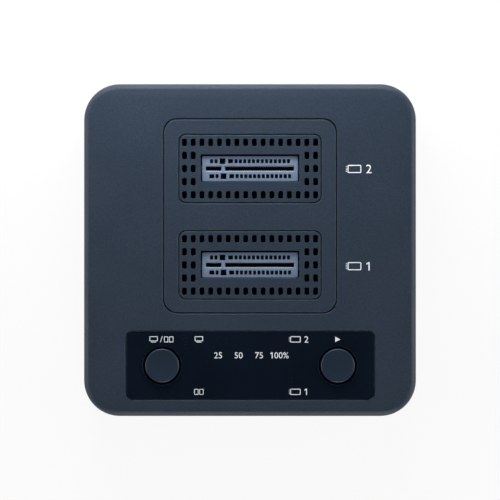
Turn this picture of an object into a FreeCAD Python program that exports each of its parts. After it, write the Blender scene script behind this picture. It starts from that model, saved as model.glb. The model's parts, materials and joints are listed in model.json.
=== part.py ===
import FreeCAD, Part
import math
import os

import Sketcher
from FreeCAD import Placement, Rotation, Vector

# Two-bay drive duplicator: a square desktop dock with two upright edge-card sockets, a glossy
# control panel with two push buttons, and its ports and power rocker on the rear wall.
# Millimetres. Origin on the desk under the middle of the body, +Z up, +Y to the rear ports.

SIZES = {
    # body
    "body_width": 76.0,
    "body_depth": 76.0,
    "body_height": 30.5,
    "corner_radius": 8.2,
    "side_wall": 2.0,
    "inner_corner": 3.6,
    "top_wall": 2.2,
    "top_edge_radius": 1.5,
    "seam_chamfer": 0.3,
    # bottom cover, the lips that centre it and its air vents
    "cover_height": 5.5,
    "floor_thickness": 2.0,
    "bottom_edge_chamfer": 1.2,
    "lip_height": 1.5,
    "lip_thickness": 1.2,
    "lip_gap": 0.15,
    "lip_length": 30.0,
    "vent_count": 7,
    "vent_width": 1.8,
    "vent_corner": 0.55,
    "vent_length": 24.0,
    "vent_pitch": 5.0,
    # rubber feet
    "foot_length": 12.0,
    "foot_width": 7.0,
    "foot_corner": 1.4,
    "foot_drop": 1.5,
    "foot_recess": 0.5,
    "foot_gap": 0.2,
    "foot_chamfer": 0.4,
    "foot_side_inset": 9.5,
    "foot_end_inset": 6.5,
    # posts for the case screws, which go in under the feet
    "screw_post_inset": 6.5,
    "screw_post_size": 6.0,
    # posts that clamp the board
    "clamp_size": 4.0,
    "clamp_inset": 5.0,
    "clamp_rear_y": 19.0,
    "clamp_front_y": -12.0,
    # bay plate
    "plate_width": 39.3,
    "plate_rear_margin": 8.15,
    "plate_panel_gap": 4.25,
    "plate_radius": 3.0,
    "plate_thickness": 2.4,
    "plate_ledge": 1.3,
    "plate_ledge_thickness": 1.4,
    "plate_frame": 1.6,
    "insert_gap": 0.3,
    "insert_chamfer": 0.2,
    "ledge_corner": 1.2,
    # bays and grilles
    "bay_shift": -0.2,
    "grille_width": 32.3,
    "grille_depth": 15.4,
    "grille_radius": 1.5,
    "grille_thickness": 1.2,
    "grille_ledge": 0.55,
    "air_columns": 16,
    "air_rows": 5,
    "air_end_columns": 2,
    "air_pitch_x": 2.0,
    "air_pitch_y": 3.0,
    "air_width": 1.12,
    "air_height": 1.7,
    "socket_window_gap": 0.225,
    # edge-card sockets
    "socket_length": 21.95,
    "socket_depth": 5.75,
    "socket_height": 8.8,
    "socket_drop": 0.6,
    "socket_standoff": 0.3,
    "socket_end_pad": 0.9,
    "slot_length": 20.15,
    "slot_width": 0.96,
    "slot_lip": 1.8,
    "slot_lead_in": 0.22,
    "key_offset": 6.125,
    "key_width": 0.87,
    "cavity_length": 19.6,
    "cavity_width": 3.0,
    "cavity_wall": 0.1,
    "core_depth": 1.5,
    "core_small_width": 0.67,
    "core_small_height": 0.85,
    "core_large": 1.25,
    "core_wide": 1.12,
    "core_row_offset": 1.72,
    "core_row_shift": 0.25,
    "core_first_x": -3.2,
    "core_run_count": 13,
    "core_end_x": -8.8,
    "core_second_x": -7.7,
    "core_large_x": -6.2,
    "core_wide_x": -4.45,
    # socket contacts and hold-down tabs
    "contact_count": 75,
    "contact_key_gap": 2.0,
    "contact_pitch": 0.5,
    "contact_width": 0.22,
    "contact_thickness": 0.2,
    "contact_root": 1.25,
    "contact_tip": 0.52,
    "contact_height": 6.7,
    "tab_thickness": 0.3,
    "tab_width": 2.0,
    "tab_height": 1.8,
    "tab_foot": 1.2,
    # control panel
    "panel_side_margin": 9.5,
    "panel_front_margin": 3.7,
    "panel_depth": 15.8,
    "panel_shift": 0.1,
    "panel_radius": 1.7,
    "panel_thickness": 1.2,
    "panel_drop": 0.15,
    "panel_gap": 0.1,
    # push buttons
    "button_side_inset": 17.9,
    "button_shift": -0.05,
    "button_radius": 3.875,
    "button_hole_radius": 4.4,
    "button_hole_corner": 2.58,
    "button_rise": 0.9,
    "button_edge": 0.25,
    "button_flange": 10.2,
    "button_flange_cut": 2.0,
    "button_flange_thickness": 1.0,
    "button_flange_gap": 0.05,
    "button_stem": 3.0,
    "button_travel": 0.5,
    # tact switches under the buttons
    "tact_size": 6.0,
    "tact_base_height": 3.2,
    "tact_cover_thickness": 0.3,
    "tact_height": 5.0,
    "plunger_size": 3.0,
    "plunger_gap": 0.08,
    "plunger_foot_gap": 0.1,
    "plunger_sunk": 1.6,
    "tact_leg_spacing": 4.5,
    "tact_leg_width": 0.7,
    "tact_leg_reach": 1.0,
    # lamps and light guide
    "lamp_button_gap": 8.425,
    "lamp_side_shift": -0.3,
    "lamp_row_shift": -0.2,
    "lamp_row_spread": 2.5,
    "lamp_columns": 6,
    "lamp_length": 1.6,
    "lamp_width": 0.8,
    "lamp_height": 0.8,
    "guide_post": 1.8,
    "guide_post_gap": 0.15,
    "guide_margin": 1.2,
    "guide_plate": 1.2,
    "guide_lamp_gap": 0.3,
    # main board
    "board_edge_gap": 1.5,
    "board_thickness": 1.6,
    "board_post_gap": 0.5,
    # chips and passive parts
    "controller_size": 12.0,
    "controller_height": 1.2,
    "controller_inset": 7.2,
    "controller_y": 4.0,
    "bridge_size": 8.0,
    "bridge_height": 0.9,
    "bridge_inset": 7.0,
    "bridge_rear_y": 10.5,
    "bridge_front_y": -1.0,
    "flash_width": 5.0,
    "flash_depth": 4.0,
    "flash_height": 1.5,
    "flash_inset": 5.0,
    "flash_y": -19.5,
    "crystal_width": 3.2,
    "crystal_depth": 2.5,
    "crystal_height": 0.8,
    "crystal_side_inset": 10.5,
    "crystal_end_inset": 7.0,
    "chip_chamfer": 0.15,
    "inductor_size": 6.0,
    "inductor_height": 3.0,
    "inductor_pitch": 9.0,
    "inductor_y": 14.0,
    "reservoir_length": 7.3,
    "reservoir_width": 4.3,
    "reservoir_height": 2.8,
    "reservoir_pitch": 9.0,
    "reservoir_y": 2.0,
    "filter_length": 1.6,
    "filter_width": 0.8,
    "filter_height": 0.8,
    "filter_pitch": 3.0,
    "filter_count": 8,
    "filter_y": 8.5,
    # power inlet
    "inlet_width": 9.0,
    "inlet_height": 11.0,
    "inlet_length": 12.3,
    "inlet_axis_depth": 6.2,
    "inlet_nose_radius": 4.0,
    "inlet_bore_radius": 3.15,
    "inlet_bore_depth": 10.5,
    "inlet_pin_radius": 1.0,
    "inlet_pin_root": 2.6,
    "inlet_pin_tip": 0.4,
    "inlet_fit_gap": 0.05,
    "inlet_pin_recess": 0.8,
    "inlet_spring_width": 2.4,
    "inlet_spring_thickness": 0.3,
    "inlet_spring_bulge": 0.3,
    "inlet_tag_width": 2.6,
    "inlet_tag_thickness": 0.5,
    # data port
    "data_x": 0.0,
    "data_width": 8.94,
    "data_height": 3.26,
    "data_radius": 1.28,
    "data_skin": 0.3,
    "data_length": 7.3,
    "data_back": 0.4,
    "data_tongue_width": 6.69,
    "data_tongue_height": 0.7,
    "data_tongue_length": 4.45,
    "data_tongue_recess": 0.6,
    "data_tongue_gap": 0.05,
    "data_base_corner": 0.7,
    # power rocker and its frame
    "rocker_frame_width": 12.6,
    "rocker_frame_height": 8.4,
    "rocker_frame_depth": 7.8,
    "rocker_nose_width": 10.8,
    "rocker_nose_height": 6.6,
    "rocker_cavity_width": 9.3,
    "rocker_cavity_height": 5.2,
    "rocker_cavity_depth": 6.2,
    "rocker_width": 4.9,
    "rocker_half_length": 4.05,
    "rocker_end_height": 3.0,
    "rocker_middle_height": 2.35,
    "rocker_foot_half": 1.3,
    "rocker_foot_drop": 1.4,
    "rocker_shoulder": 1.4,
    "rocker_pin_radius": 0.8,
    "rocker_pin_gap": 0.05,
    "rocker_pin_length": 0.9,
    "rocker_pivot_depth": 3.3,
    "rocker_tilt": 8.0,
    "rocker_leg_width": 1.2,
    "rocker_leg_thickness": 0.4,
    "rocker_leg_pitch": 3.6,
    # how the rear parts stand in their wall
    "port_side_inset": 18.0,
    "port_recess": 0.3,
    "port_wall_gap": 0.2,
    "port_hole_gap": 0.2,
}


class Size:
    """A length: the number it has now, and the expression that ties it to the sheet."""

    def __init__(self, value, text):
        self.value = value
        self.text = text

    def __add__(self, other):
        other = as_size(other)
        return Size(self.value + other.value, f"({self.text} + {other.text})")

    def __sub__(self, other):
        other = as_size(other)
        return Size(self.value - other.value, f"({self.text} - {other.text})")

    def __mul__(self, other):
        other = as_size(other)
        return Size(self.value * other.value, f"({self.text} * {other.text})")

    def __truediv__(self, other):
        other = as_size(other)
        return Size(self.value / other.value, f"({self.text} / {other.text})")

    def __neg__(self):
        return Size(-self.value, f"(-1 * {self.text})")

    def __radd__(self, other):
        return as_size(other) + self

    def __rsub__(self, other):
        return as_size(other) - self

    def __rmul__(self, other):
        return as_size(other) * self


def as_size(amount):
    """A plain number as a Size, and a Size as it is."""
    if isinstance(amount, Size):
        return amount
    return Size(float(amount), f"({float(amount)})")


class Sheet:
    """The driving dimensions by name, read back from the document's spreadsheet."""

    def __init__(self, document):
        table = document.addObject("Spreadsheet::Sheet", "Sizes")
        for row, (alias, number) in enumerate(SIZES.items(), start=1):
            table.set(f"A{row}", alias)
            table.set(f"B{row}", str(number))
            table.setAlias(f"B{row}", alias)
        document.recompute()
        for alias in SIZES:
            setattr(self, alias, Size(float(table.get(alias)), f"Sizes.{alias}"))

    def count(self, alias):
        """A dimension that counts copies, as a whole number."""
        return int(round(getattr(self, alias).value))


DOCUMENT = FreeCAD.newDocument("DriveDuplicator")
S = Sheet(DOCUMENT)

# Heights above the desk
COVER_BOTTOM = S.foot_drop
FLOOR_TOP = COVER_BOTTOM + S.floor_thickness
SEAM = COVER_BOTTOM + S.cover_height
SHELL_TOP = COVER_BOTTOM + S.body_height
CEILING = SHELL_TOP - S.top_wall
PLATE_SEAT = SHELL_TOP - S.plate_thickness
GRILLE_SEAT = SHELL_TOP - S.grille_thickness
PANEL_TOP = SHELL_TOP - S.panel_drop
PANEL_SEAT = PANEL_TOP - S.panel_thickness
BOARD_TOP = SHELL_TOP - S.socket_drop - S.socket_height
BOARD_BOTTOM = BOARD_TOP - S.board_thickness
PLUNGER_TOP = BOARD_TOP + S.tact_height

# Distances from the middle of the body
INNER_WIDTH = S.body_width - 2 * S.side_wall
INNER_DEPTH = S.body_depth - 2 * S.side_wall
SCREW_X = S.body_width / 2 - S.screw_post_inset
SCREW_Y = S.body_depth / 2 - S.screw_post_inset
FOOT_X = S.body_width / 2 - S.foot_side_inset
FOOT_Y = S.body_depth / 2 - S.foot_end_inset
CLAMP_X = INNER_WIDTH / 2 - S.clamp_inset
PANEL_WIDTH = S.body_width - 2 * S.panel_side_margin
PANEL_Y = S.panel_front_margin + S.panel_depth / 2 - S.body_depth / 2
PLATE_DEPTH = S.body_depth - S.plate_rear_margin - S.plate_panel_gap - S.panel_depth - S.panel_front_margin
PLATE_Y = S.body_depth / 2 - S.plate_rear_margin - PLATE_DEPTH / 2
REAR_BAY_Y = PLATE_Y + S.bay_shift + PLATE_DEPTH / 4
FRONT_BAY_Y = PLATE_Y + S.bay_shift - PLATE_DEPTH / 4
BUTTON_X = S.body_width / 2 - S.button_side_inset
BUTTON_Y = PANEL_Y + S.button_shift
LAMP_SPAN = 2 * (BUTTON_X - S.lamp_button_gap)
LAMP_PITCH = LAMP_SPAN / (S.lamp_columns - 1)
LAMP_ROW_Y = PANEL_Y + S.lamp_row_shift
BOARD_X = INNER_WIDTH / 2 - S.board_edge_gap
BOARD_Y = INNER_DEPTH / 2 - S.board_edge_gap
PORT_X = S.body_width / 2 - S.port_side_inset
REAR_FACE = S.body_depth / 2
REAR_INSIDE = REAR_FACE - S.side_wall
PORT_FACE = REAR_FACE - S.port_recess
PORT_SHOULDER = REAR_INSIDE - S.port_wall_gap
INLET_AXIS = BOARD_BOTTOM - S.inlet_axis_depth
DATA_AXIS = BOARD_BOTTOM - S.data_height / 2
ROCKER_AXIS = BOARD_BOTTOM - S.rocker_frame_height / 2
ROCKER_PIVOT_Y = PORT_FACE - S.rocker_pivot_depth

NODES = []


def keep(piece, label):
    """Name a finished sub-part and put it on the list of those that are written out."""
    piece.Label = label
    NODES.append(piece)
    return piece


def bind(thing, path, amount):
    """Tie one property to the sheet."""
    thing.setExpression(path, as_size(amount).text)


def new_body(label, x=0, y=0, z=0):
    """An empty body that stands at a bound place."""
    body = DOCUMENT.addObject("PartDesign::Body", label)
    for path, amount in (("x", x), ("y", y), ("z", z)):
        bind(body, f"Placement.Base.{path}", amount)
    return body


def sketch_on(body, role, level):
    """A sketch on one of the body's own origin planes, at a level along +X, +Y or +Z.

    The sketch's axes are X and Y on the XY plane, X and Z on the XZ plane, Y and Z on the YZ plane.
    """
    sketch = body.newObject("Sketcher::SketchObject", "Sketch")
    plane = next(part for part in body.Origin.OriginFeatures if part.Role == role)
    sketch.AttachmentSupport = [(plane, "")]
    sketch.MapMode = "FlatFace"
    # the XZ plane's normal is -Y
    bind(sketch, "AttachmentOffset.Base.z", -as_size(level) if role == "XZ_Plane" else level)
    return sketch


def constrain(sketch, kind, *where, amount=None):
    """Add one constraint, and tie its amount to the sheet where it has one."""
    if amount is None:
        sketch.addConstraint(Sketcher.Constraint(kind, *where))
        return
    amount = as_size(amount)
    index = sketch.addConstraint(Sketcher.Constraint(kind, *where, amount.value))
    sketch.setExpression(f"Constraints[{index}]", amount.text)


def pin_point(sketch, geometry, point, x, y):
    """Hold one point of a sketch at a place measured from the sketch's origin."""
    constrain(sketch, "DistanceX", -1, 1, geometry, point, amount=x)
    constrain(sketch, "DistanceY", -1, 1, geometry, point, amount=y)


def circle(sketch, radius, x=0, y=0):
    """A circle with a bound centre and radius."""
    radius, x, y = as_size(radius), as_size(x), as_size(y)
    ring = Part.Circle(Vector(x.value, y.value, 0), Vector(0, 0, 1), radius.value)
    index = sketch.addGeometry(ring)
    pin_point(sketch, index, 3, x, y)
    constrain(sketch, "Radius", index, amount=radius)


def outline(sketch, corners):
    """A closed straight-sided outline through bound corners."""
    corners = [(as_size(x), as_size(y)) for x, y in corners]
    points = [Vector(x.value, y.value, 0) for x, y in corners]
    sides = list(zip(points, points[1:] + points[:1]))
    first = sketch.addGeometry([Part.LineSegment(a, b) for a, b in sides])[0]
    for index, (x, y) in enumerate(corners):
        pin_point(sketch, first + index, 1, x, y)
        following = first + (index + 1) % len(corners)
        constrain(sketch, "Coincident", first + index, 2, following, 1)


def rectangle(sketch, width, depth, x=0, y=0):
    """A sharp-cornered rectangle about a bound centre."""
    half_x, half_y = as_size(width) / 2, as_size(depth) / 2
    signs = ((-1, -1), (1, -1), (1, 1), (-1, 1))
    outline(sketch, [(as_size(x) + right * half_x, as_size(y) + up * half_y) for right, up in signs])


def eight_sided(sketch, width, depth, corner, x=0, y=0):
    """A rectangle with its four corners cut off straight, about a bound centre."""
    x, y, corner = as_size(x), as_size(y), as_size(corner)
    outer_x, outer_y = as_size(width) / 2, as_size(depth) / 2
    inner_x, inner_y = outer_x - corner, outer_y - corner
    right = [(inner_x, -outer_y), (outer_x, -inner_y), (outer_x, inner_y), (inner_x, outer_y)]
    left = [(-across, up) for across, up in reversed(right)]
    outline(sketch, [(x + across, y + up) for across, up in right + left])


def rounded_rectangle(sketch, width, depth, radius, x=0, y=0):
    """Four sides joined by four equal tangent arcs, about a bound centre."""
    half_x, half_y = as_size(width) / 2, as_size(depth) / 2
    x, y, radius = as_size(x), as_size(y), as_size(radius)
    inner_x, inner_y = (half_x - radius).value, (half_y - radius).value
    pieces = []
    for quarter, (right, up) in enumerate(((1, -1), (1, 1), (-1, 1), (-1, -1))):
        centre = Vector(x.value + right * inner_x, y.value + up * inner_y, 0)
        start = (quarter - 1) * math.pi / 2
        ring = Part.Circle(centre, Vector(0, 0, 1), radius.value)
        pieces.append(Part.ArcOfCircle(ring, start, start + math.pi / 2))
    sides = [
        Part.LineSegment(arc.EndPoint, following.StartPoint)
        for arc, following in zip(pieces, pieces[1:] + pieces[:1])
    ]
    arcs = sketch.addGeometry(pieces)
    lines = sketch.addGeometry(sides)
    for index in range(4):
        constrain(sketch, "Tangent", arcs[index], 2, lines[index], 1)
        constrain(sketch, "Tangent", lines[index], 2, arcs[(index + 1) % 4], 1)
        constrain(sketch, "Vertical" if index % 2 == 0 else "Horizontal", lines[index])
    for other in arcs[1:]:
        constrain(sketch, "Equal", arcs[0], other)
    constrain(sketch, "Radius", arcs[0], amount=radius)
    constrain(sketch, "DistanceX", -1, 1, lines[0], 1, amount=x + half_x)
    constrain(sketch, "DistanceX", -1, 1, lines[2], 1, amount=x - half_x)
    constrain(sketch, "DistanceY", -1, 1, lines[1], 1, amount=y + half_y)
    constrain(sketch, "DistanceY", -1, 1, lines[3], 1, amount=y - half_y)


def finish_feature(body, feature, volume_before, should_grow):
    """Recompute, and stop if the feature failed or changed nothing."""
    DOCUMENT.recompute()
    volume = body.Shape.Volume
    changed = volume > volume_before if should_grow else volume < volume_before
    if "Invalid" in feature.State or not changed:
        raise RuntimeError(f"{body.Label}: {feature.Name} did not work")
    return feature


def volume_of(body):
    """The body's volume so far, which is nothing before its first feature."""
    return 0.0 if body.Shape.isNull() else body.Shape.Volume


def pad(body, sketch, length):
    """Raise a sketch along its normal: +Z, -Y or +X."""
    before = volume_of(body)
    feature = body.newObject("PartDesign::Pad", "Pad")
    feature.Profile = sketch
    bind(feature, "Length", length)
    return finish_feature(body, feature, before, True)


def pocket(body, sketch, length=None, backwards=False):
    """Cut a sketch against its normal, through everything when no length is given."""
    before = volume_of(body)
    feature = body.newObject("PartDesign::Pocket", "Pocket")
    feature.Profile = sketch
    feature.Reversed = backwards
    if length is None:
        feature.Type = "ThroughAll"
    else:
        bind(feature, "Length", length)
    return finish_feature(body, feature, before, False)


def row_of(body, feature, sketch, axis, pitch, count):
    """Repeat a cut along one axis of its sketch at a bound pitch."""
    before = volume_of(body)
    pattern = body.newObject("PartDesign::LinearPattern", "LinearPattern")
    pattern.Originals = [feature]
    pattern.Direction = (sketch, [axis])
    bind(pattern, "Length", pitch * (count - 1))
    bind(pattern, "Occurrences", count)
    body.Tip = pattern
    return finish_feature(body, pattern, before, False)


def edges_at(feature, level, half_x=None, half_y=None, centre_y=0, along="z"):
    """Names of the edges that lie at one level, and inside an upright rectangle where one is given."""
    spare = 0.05
    level, centre = as_size(level).value, as_size(centre_y).value
    limit_x = math.inf if half_x is None else as_size(half_x).value + spare
    limit_y = math.inf if half_y is None else as_size(half_y).value + spare
    names = []
    for index, edge in enumerate(feature.Shape.Edges, start=1):
        ends = [vertex.Point for vertex in edge.Vertexes]
        flat = all(abs(getattr(point, along) - level) < 1e-4 for point in ends)
        inside = all(abs(point.x) <= limit_x and abs(point.y - centre) <= limit_y for point in ends)
        if flat and inside:
            names.append(f"Edge{index}")
    return names


def soften(body, kind, size_name, names, amount):
    """Fillet or chamfer the named edges of the body's last feature."""
    base = body.Tip
    before = body.Shape.Volume
    feature = body.newObject(f"PartDesign::{kind}", kind)
    feature.Base = (base, names)
    bind(feature, size_name, amount)
    DOCUMENT.recompute()
    if "Invalid" in feature.State or abs(body.Shape.Volume - before) < 1e-6:
        raise RuntimeError(f"{body.Label}: {kind} did not work")


def fillet(body, names, radius):
    """Round the named edges."""
    soften(body, "Fillet", "Radius", names, radius)


def chamfer(body, names, amount):
    """Bevel the named edges."""
    soften(body, "Chamfer", "Size", names, amount)


def group(label, master, places):
    """One node of equal separate solids: the master's shape set down at each (x, y, z, turn)."""
    DOCUMENT.recompute()
    node = DOCUMENT.addObject("Part::Feature", label)
    solids = []
    for x, y, z, turn in places:
        spot = Vector(as_size(x).value, as_size(y).value, as_size(z).value)
        copy = master.Shape.copy()
        copy.Placement = Placement(spot, Rotation(Vector(0, 0, 1), turn)).multiply(copy.Placement)
        solids.append(copy)
    node.Shape = Part.makeCompound(solids)
    return keep(node, label)


def four_corners(half_x, half_y):
    """The places (x, y) at the corners of a rectangle about the origin."""
    half_x, half_y = as_size(half_x), as_size(half_y)
    return [(half_x, half_y), (-half_x, half_y), (-half_x, -half_y), (half_x, -half_y)]


def clamp_places():
    """The places (x, y) of the four pairs of posts that clamp the board."""
    sides = [(side * CLAMP_X, y) for side in (-1, 1) for y in (S.clamp_rear_y, S.clamp_front_y)]
    return sides


def lamp_places():
    """The lamps' places: one in each inner column, two in the first and the last."""
    last = S.count("lamp_columns") - 1
    places = []
    for column in range(last + 1):
        x = S.lamp_side_shift + LAMP_PITCH * (column - last / 2)
        if column in (0, last):
            places.append((x, LAMP_ROW_Y + S.lamp_row_spread))
            places.append((x, LAMP_ROW_Y - S.lamp_row_spread))
        else:
            places.append((x, LAMP_ROW_Y))
    return places


# ---------------------------------------------------------------- enclosure


def circles_at(body, level, radius, places):
    """A sketch of equal circles on a level plane."""
    sketch = sketch_on(body, "XY_Plane", level)
    for x, y in places:
        circle(sketch, radius, x, y)
    return sketch


def posts_at(body, level, size, places):
    """A sketch of equal squares on a level plane."""
    sketch = sketch_on(body, "XY_Plane", level)
    for x, y in places:
        rectangle(sketch, size, size, x, y)
    return sketch


def hollow(body, level, depth=None):
    """Cut the room inside the walls downwards from a level, or through when no depth is given."""
    inside = sketch_on(body, "XY_Plane", level)
    eight_sided(inside, INNER_WIDTH, INNER_DEPTH, S.inner_corner)
    pocket(body, inside, depth)


def make_top_shell():
    """The deep cover: a hollow block with its bay seat, panel recess, posts and rear ports."""
    body = new_body("top_shell")
    outside = sketch_on(body, "XY_Plane", SEAM)
    rounded_rectangle(outside, S.body_width, S.body_depth, S.corner_radius)
    block = pad(body, outside, SHELL_TOP - SEAM)
    fillet(body, edges_at(block, SHELL_TOP), S.top_edge_radius)
    chamfer(body, edges_at(body.Tip, SEAM), S.seam_chamfer)
    hollow(body, CEILING)
    add_bay_seat(body)
    pad(body, posts_at(body, SEAM, S.screw_post_size, four_corners(SCREW_X, SCREW_Y)), CEILING - SEAM)
    pad(body, posts_at(body, BOARD_TOP, S.clamp_size, clamp_places()), CEILING - BOARD_TOP)
    cut_panel_recess(body)
    cut_rear_ports(body)
    return keep(body, "top_shell")


def add_bay_seat(body):
    """A frame under the top wall, and a stepped hole through it that the bay plate drops into."""
    opening_width = S.plate_width + 2 * S.insert_gap
    opening_depth = PLATE_DEPTH + 2 * S.insert_gap
    opening_radius = S.plate_radius + S.insert_gap
    frame_bottom = PLATE_SEAT - S.plate_ledge_thickness
    frame = sketch_on(body, "XY_Plane", frame_bottom)
    rim = 2 * S.plate_frame
    rectangle(frame, opening_width + rim, opening_depth + rim, 0, PLATE_Y)
    pad(body, frame, CEILING - frame_bottom)
    seat = sketch_on(body, "XY_Plane", SHELL_TOP)
    rounded_rectangle(seat, opening_width, opening_depth, opening_radius, 0, PLATE_Y)
    pocket(body, seat, S.plate_thickness)
    hole = sketch_on(body, "XY_Plane", PLATE_SEAT)
    step = 2 * S.plate_ledge
    eight_sided(hole, opening_width - step, opening_depth - step, S.ledge_corner, 0, PLATE_Y)
    pocket(body, hole)
    rim_edges = edges_at(body.Tip, SHELL_TOP, opening_width / 2, opening_depth / 2, PLATE_Y)
    chamfer(body, rim_edges, S.insert_chamfer)


def cut_panel_recess(body):
    """The shallow seat of the control panel, with its button and lamp holes."""
    recess = sketch_on(body, "XY_Plane", SHELL_TOP)
    width = PANEL_WIDTH + 2 * S.panel_gap
    depth = S.panel_depth + 2 * S.panel_gap
    rounded_rectangle(recess, width, depth, S.panel_radius + S.panel_gap, S.panel_shift, PANEL_Y)
    pocket(body, recess, SHELL_TOP - PANEL_SEAT)
    holes = sketch_on(body, "XY_Plane", PANEL_SEAT)
    hole = 2 * S.button_hole_radius
    for side in (-1, 1):
        eight_sided(holes, hole, hole, S.button_hole_corner, side * BUTTON_X, BUTTON_Y)
    for x, y in lamp_places():
        window = S.guide_post + 2 * S.guide_post_gap
        rectangle(holes, window, window, x, y)
    pocket(body, holes)


def cut_rear_ports(body):
    """Three openings in the rear wall, for the power inlet, the data port and the rocker."""
    ports = sketch_on(body, "XZ_Plane", REAR_INSIDE - S.side_wall / 2)
    gap = 2 * S.port_hole_gap
    circle(ports, S.inlet_nose_radius + S.port_hole_gap, -PORT_X, INLET_AXIS)
    data_radius = S.data_radius + S.port_hole_gap
    rounded_rectangle(ports, S.data_width + gap, S.data_height + gap, data_radius, S.data_x, DATA_AXIS)
    rectangle(ports, S.rocker_nose_width + gap, S.rocker_nose_height + gap, PORT_X, ROCKER_AXIS)
    pocket(body, ports)


def make_bottom_cover():
    """The tray that closes the shell: centring lips, screw and clamp posts, foot seats and air vents."""
    body = new_body("bottom_cover")
    corners = four_corners(SCREW_X, SCREW_Y)
    outside = sketch_on(body, "XY_Plane", COVER_BOTTOM)
    rounded_rectangle(outside, S.body_width, S.body_depth, S.corner_radius)
    block = pad(body, outside, S.cover_height)
    chamfer(body, edges_at(block, COVER_BOTTOM), S.bottom_edge_chamfer)
    hollow(body, SEAM, SEAM - FLOOR_TOP)
    add_lips(body)
    pad(body, posts_at(body, FLOOR_TOP, S.screw_post_size, corners), SEAM - FLOOR_TOP)
    pad(body, posts_at(body, FLOOR_TOP, S.clamp_size, clamp_places()), BOARD_BOTTOM - FLOOR_TOP)
    seats = sketch_on(body, "XY_Plane", COVER_BOTTOM + S.foot_recess)
    gap = 2 * S.foot_gap
    for x, y in four_corners(FOOT_X, FOOT_Y):
        eight_sided(seats, S.foot_length + gap, S.foot_width + gap, S.foot_corner, x, y)
    pocket(body, seats)

    vent = sketch_on(body, "XY_Plane", FLOOR_TOP)
    first_x = -S.vent_pitch * (S.vent_count - 1) / 2
    eight_sided(vent, S.vent_width, S.vent_length, S.vent_corner, first_x, 0)
    row_of(body, pocket(body, vent), vent, "H_Axis", S.vent_pitch, S.vent_count)
    return keep(body, "bottom_cover")


def add_lips(body):
    """One upright lip along the middle of each wall, just inside the shell's wall above the seam."""
    thick, run, wall = S.lip_thickness, S.lip_length, S.side_wall
    inner_x = INNER_WIDTH / 2 - S.lip_gap - thick
    inner_y = INNER_DEPTH / 2 - S.lip_gap - thick
    roots = sketch_on(body, "XY_Plane", FLOOR_TOP)
    lips = sketch_on(body, "XY_Plane", SEAM)
    for side in (-1, 1):
        rectangle(roots, wall, run, side * (inner_x + wall / 2), 0)
        rectangle(roots, run, wall, 0, side * (inner_y + wall / 2))
        rectangle(lips, thick, run, side * (inner_x + thick / 2), 0)
        rectangle(lips, run, thick, 0, side * (inner_y + thick / 2))
    pad(body, roots, SEAM - FLOOR_TOP)
    pad(body, lips, S.lip_height)


def make_bay_plate():
    """The plate that drops into the shell's bay seat and carries both grilles on ledges."""
    body = new_body("bay_plate")
    outside = sketch_on(body, "XY_Plane", PLATE_SEAT)
    rounded_rectangle(outside, S.plate_width, PLATE_DEPTH, S.plate_radius, 0, PLATE_Y)
    block = pad(body, outside, S.plate_thickness)
    chamfer(body, edges_at(block, SHELL_TOP), S.insert_chamfer)
    width = S.grille_width + 2 * S.insert_gap
    depth = S.grille_depth + 2 * S.insert_gap
    radius = S.grille_radius + S.insert_gap
    step = 2 * S.grille_ledge
    seats = sketch_on(body, "XY_Plane", SHELL_TOP)
    holes = sketch_on(body, "XY_Plane", GRILLE_SEAT)
    for centre in (REAR_BAY_Y, FRONT_BAY_Y):
        rounded_rectangle(seats, width, depth, radius, 0, centre)
        eight_sided(holes, width - step, depth - step, S.ledge_corner, 0, centre)
    pocket(body, seats, S.grille_thickness)
    pocket(body, holes)
    return keep(body, "bay_plate")


def make_grille(label, bay_y):
    """A perforated cover round one socket: full rows of holes behind and in front, short ones at the ends."""
    body = new_body(label, 0, bay_y, 0)
    outside = sketch_on(body, "XY_Plane", GRILLE_SEAT)
    rounded_rectangle(outside, S.grille_width, S.grille_depth, S.grille_radius)
    block = pad(body, outside, S.grille_thickness)
    chamfer(body, edges_at(block, SHELL_TOP), S.insert_chamfer)
    window = sketch_on(body, "XY_Plane", SHELL_TOP)
    window_gap = 2 * S.socket_window_gap
    rectangle(window, S.socket_length + window_gap, S.socket_depth + window_gap)
    pocket(body, window)

    first_x = -S.air_pitch_x * (S.air_columns - 1) / 2
    first_y = -S.air_pitch_y * (S.air_rows - 1) / 2
    full_rows = sketch_on(body, "XY_Plane", SHELL_TOP)
    rectangle(full_rows, S.air_width, S.air_height, first_x, first_y)
    rectangle(full_rows, S.air_width, S.air_height, first_x, -first_y)
    row_of(body, pocket(body, full_rows), full_rows, "H_Axis", S.air_pitch_x, S.air_columns)
    end_holes = sketch_on(body, "XY_Plane", SHELL_TOP)
    for column in range(S.count("air_end_columns")):
        x = first_x + S.air_pitch_x * column
        rectangle(end_holes, S.air_width, S.air_height, x, first_y + S.air_pitch_y)
        rectangle(end_holes, S.air_width, S.air_height, -x, first_y + S.air_pitch_y)
    row_of(body, pocket(body, end_holes), end_holes, "V_Axis", S.air_pitch_y, S.air_rows - 2)
    return keep(body, label)


def make_control_panel():
    """The glossy fascia, flush in its recess, with a hole for each button."""
    body = new_body("control_panel")
    outside = sketch_on(body, "XY_Plane", PANEL_SEAT)
    rounded_rectangle(outside, PANEL_WIDTH, S.panel_depth, S.panel_radius, S.panel_shift, PANEL_Y)
    pad(body, outside, S.panel_thickness)
    spots = [(side * BUTTON_X, BUTTON_Y) for side in (-1, 1)]
    pocket(body, circles_at(body, PANEL_TOP, S.button_hole_radius, spots))
    return keep(body, "control_panel")


def make_feet():
    """Four soft pads with a bevelled tread, each seated in the cover."""
    pad_body = new_body("foot_master")
    sole = sketch_on(pad_body, "XY_Plane", 0)
    eight_sided(sole, S.foot_length, S.foot_width, S.foot_corner)
    block = pad(pad_body, sole, S.foot_drop + S.foot_recess)
    chamfer(pad_body, edges_at(block, 0), S.foot_chamfer)
    group("rubber_feet", pad_body, [(x, y, 0, 0) for x, y in four_corners(FOOT_X, FOOT_Y)])


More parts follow.
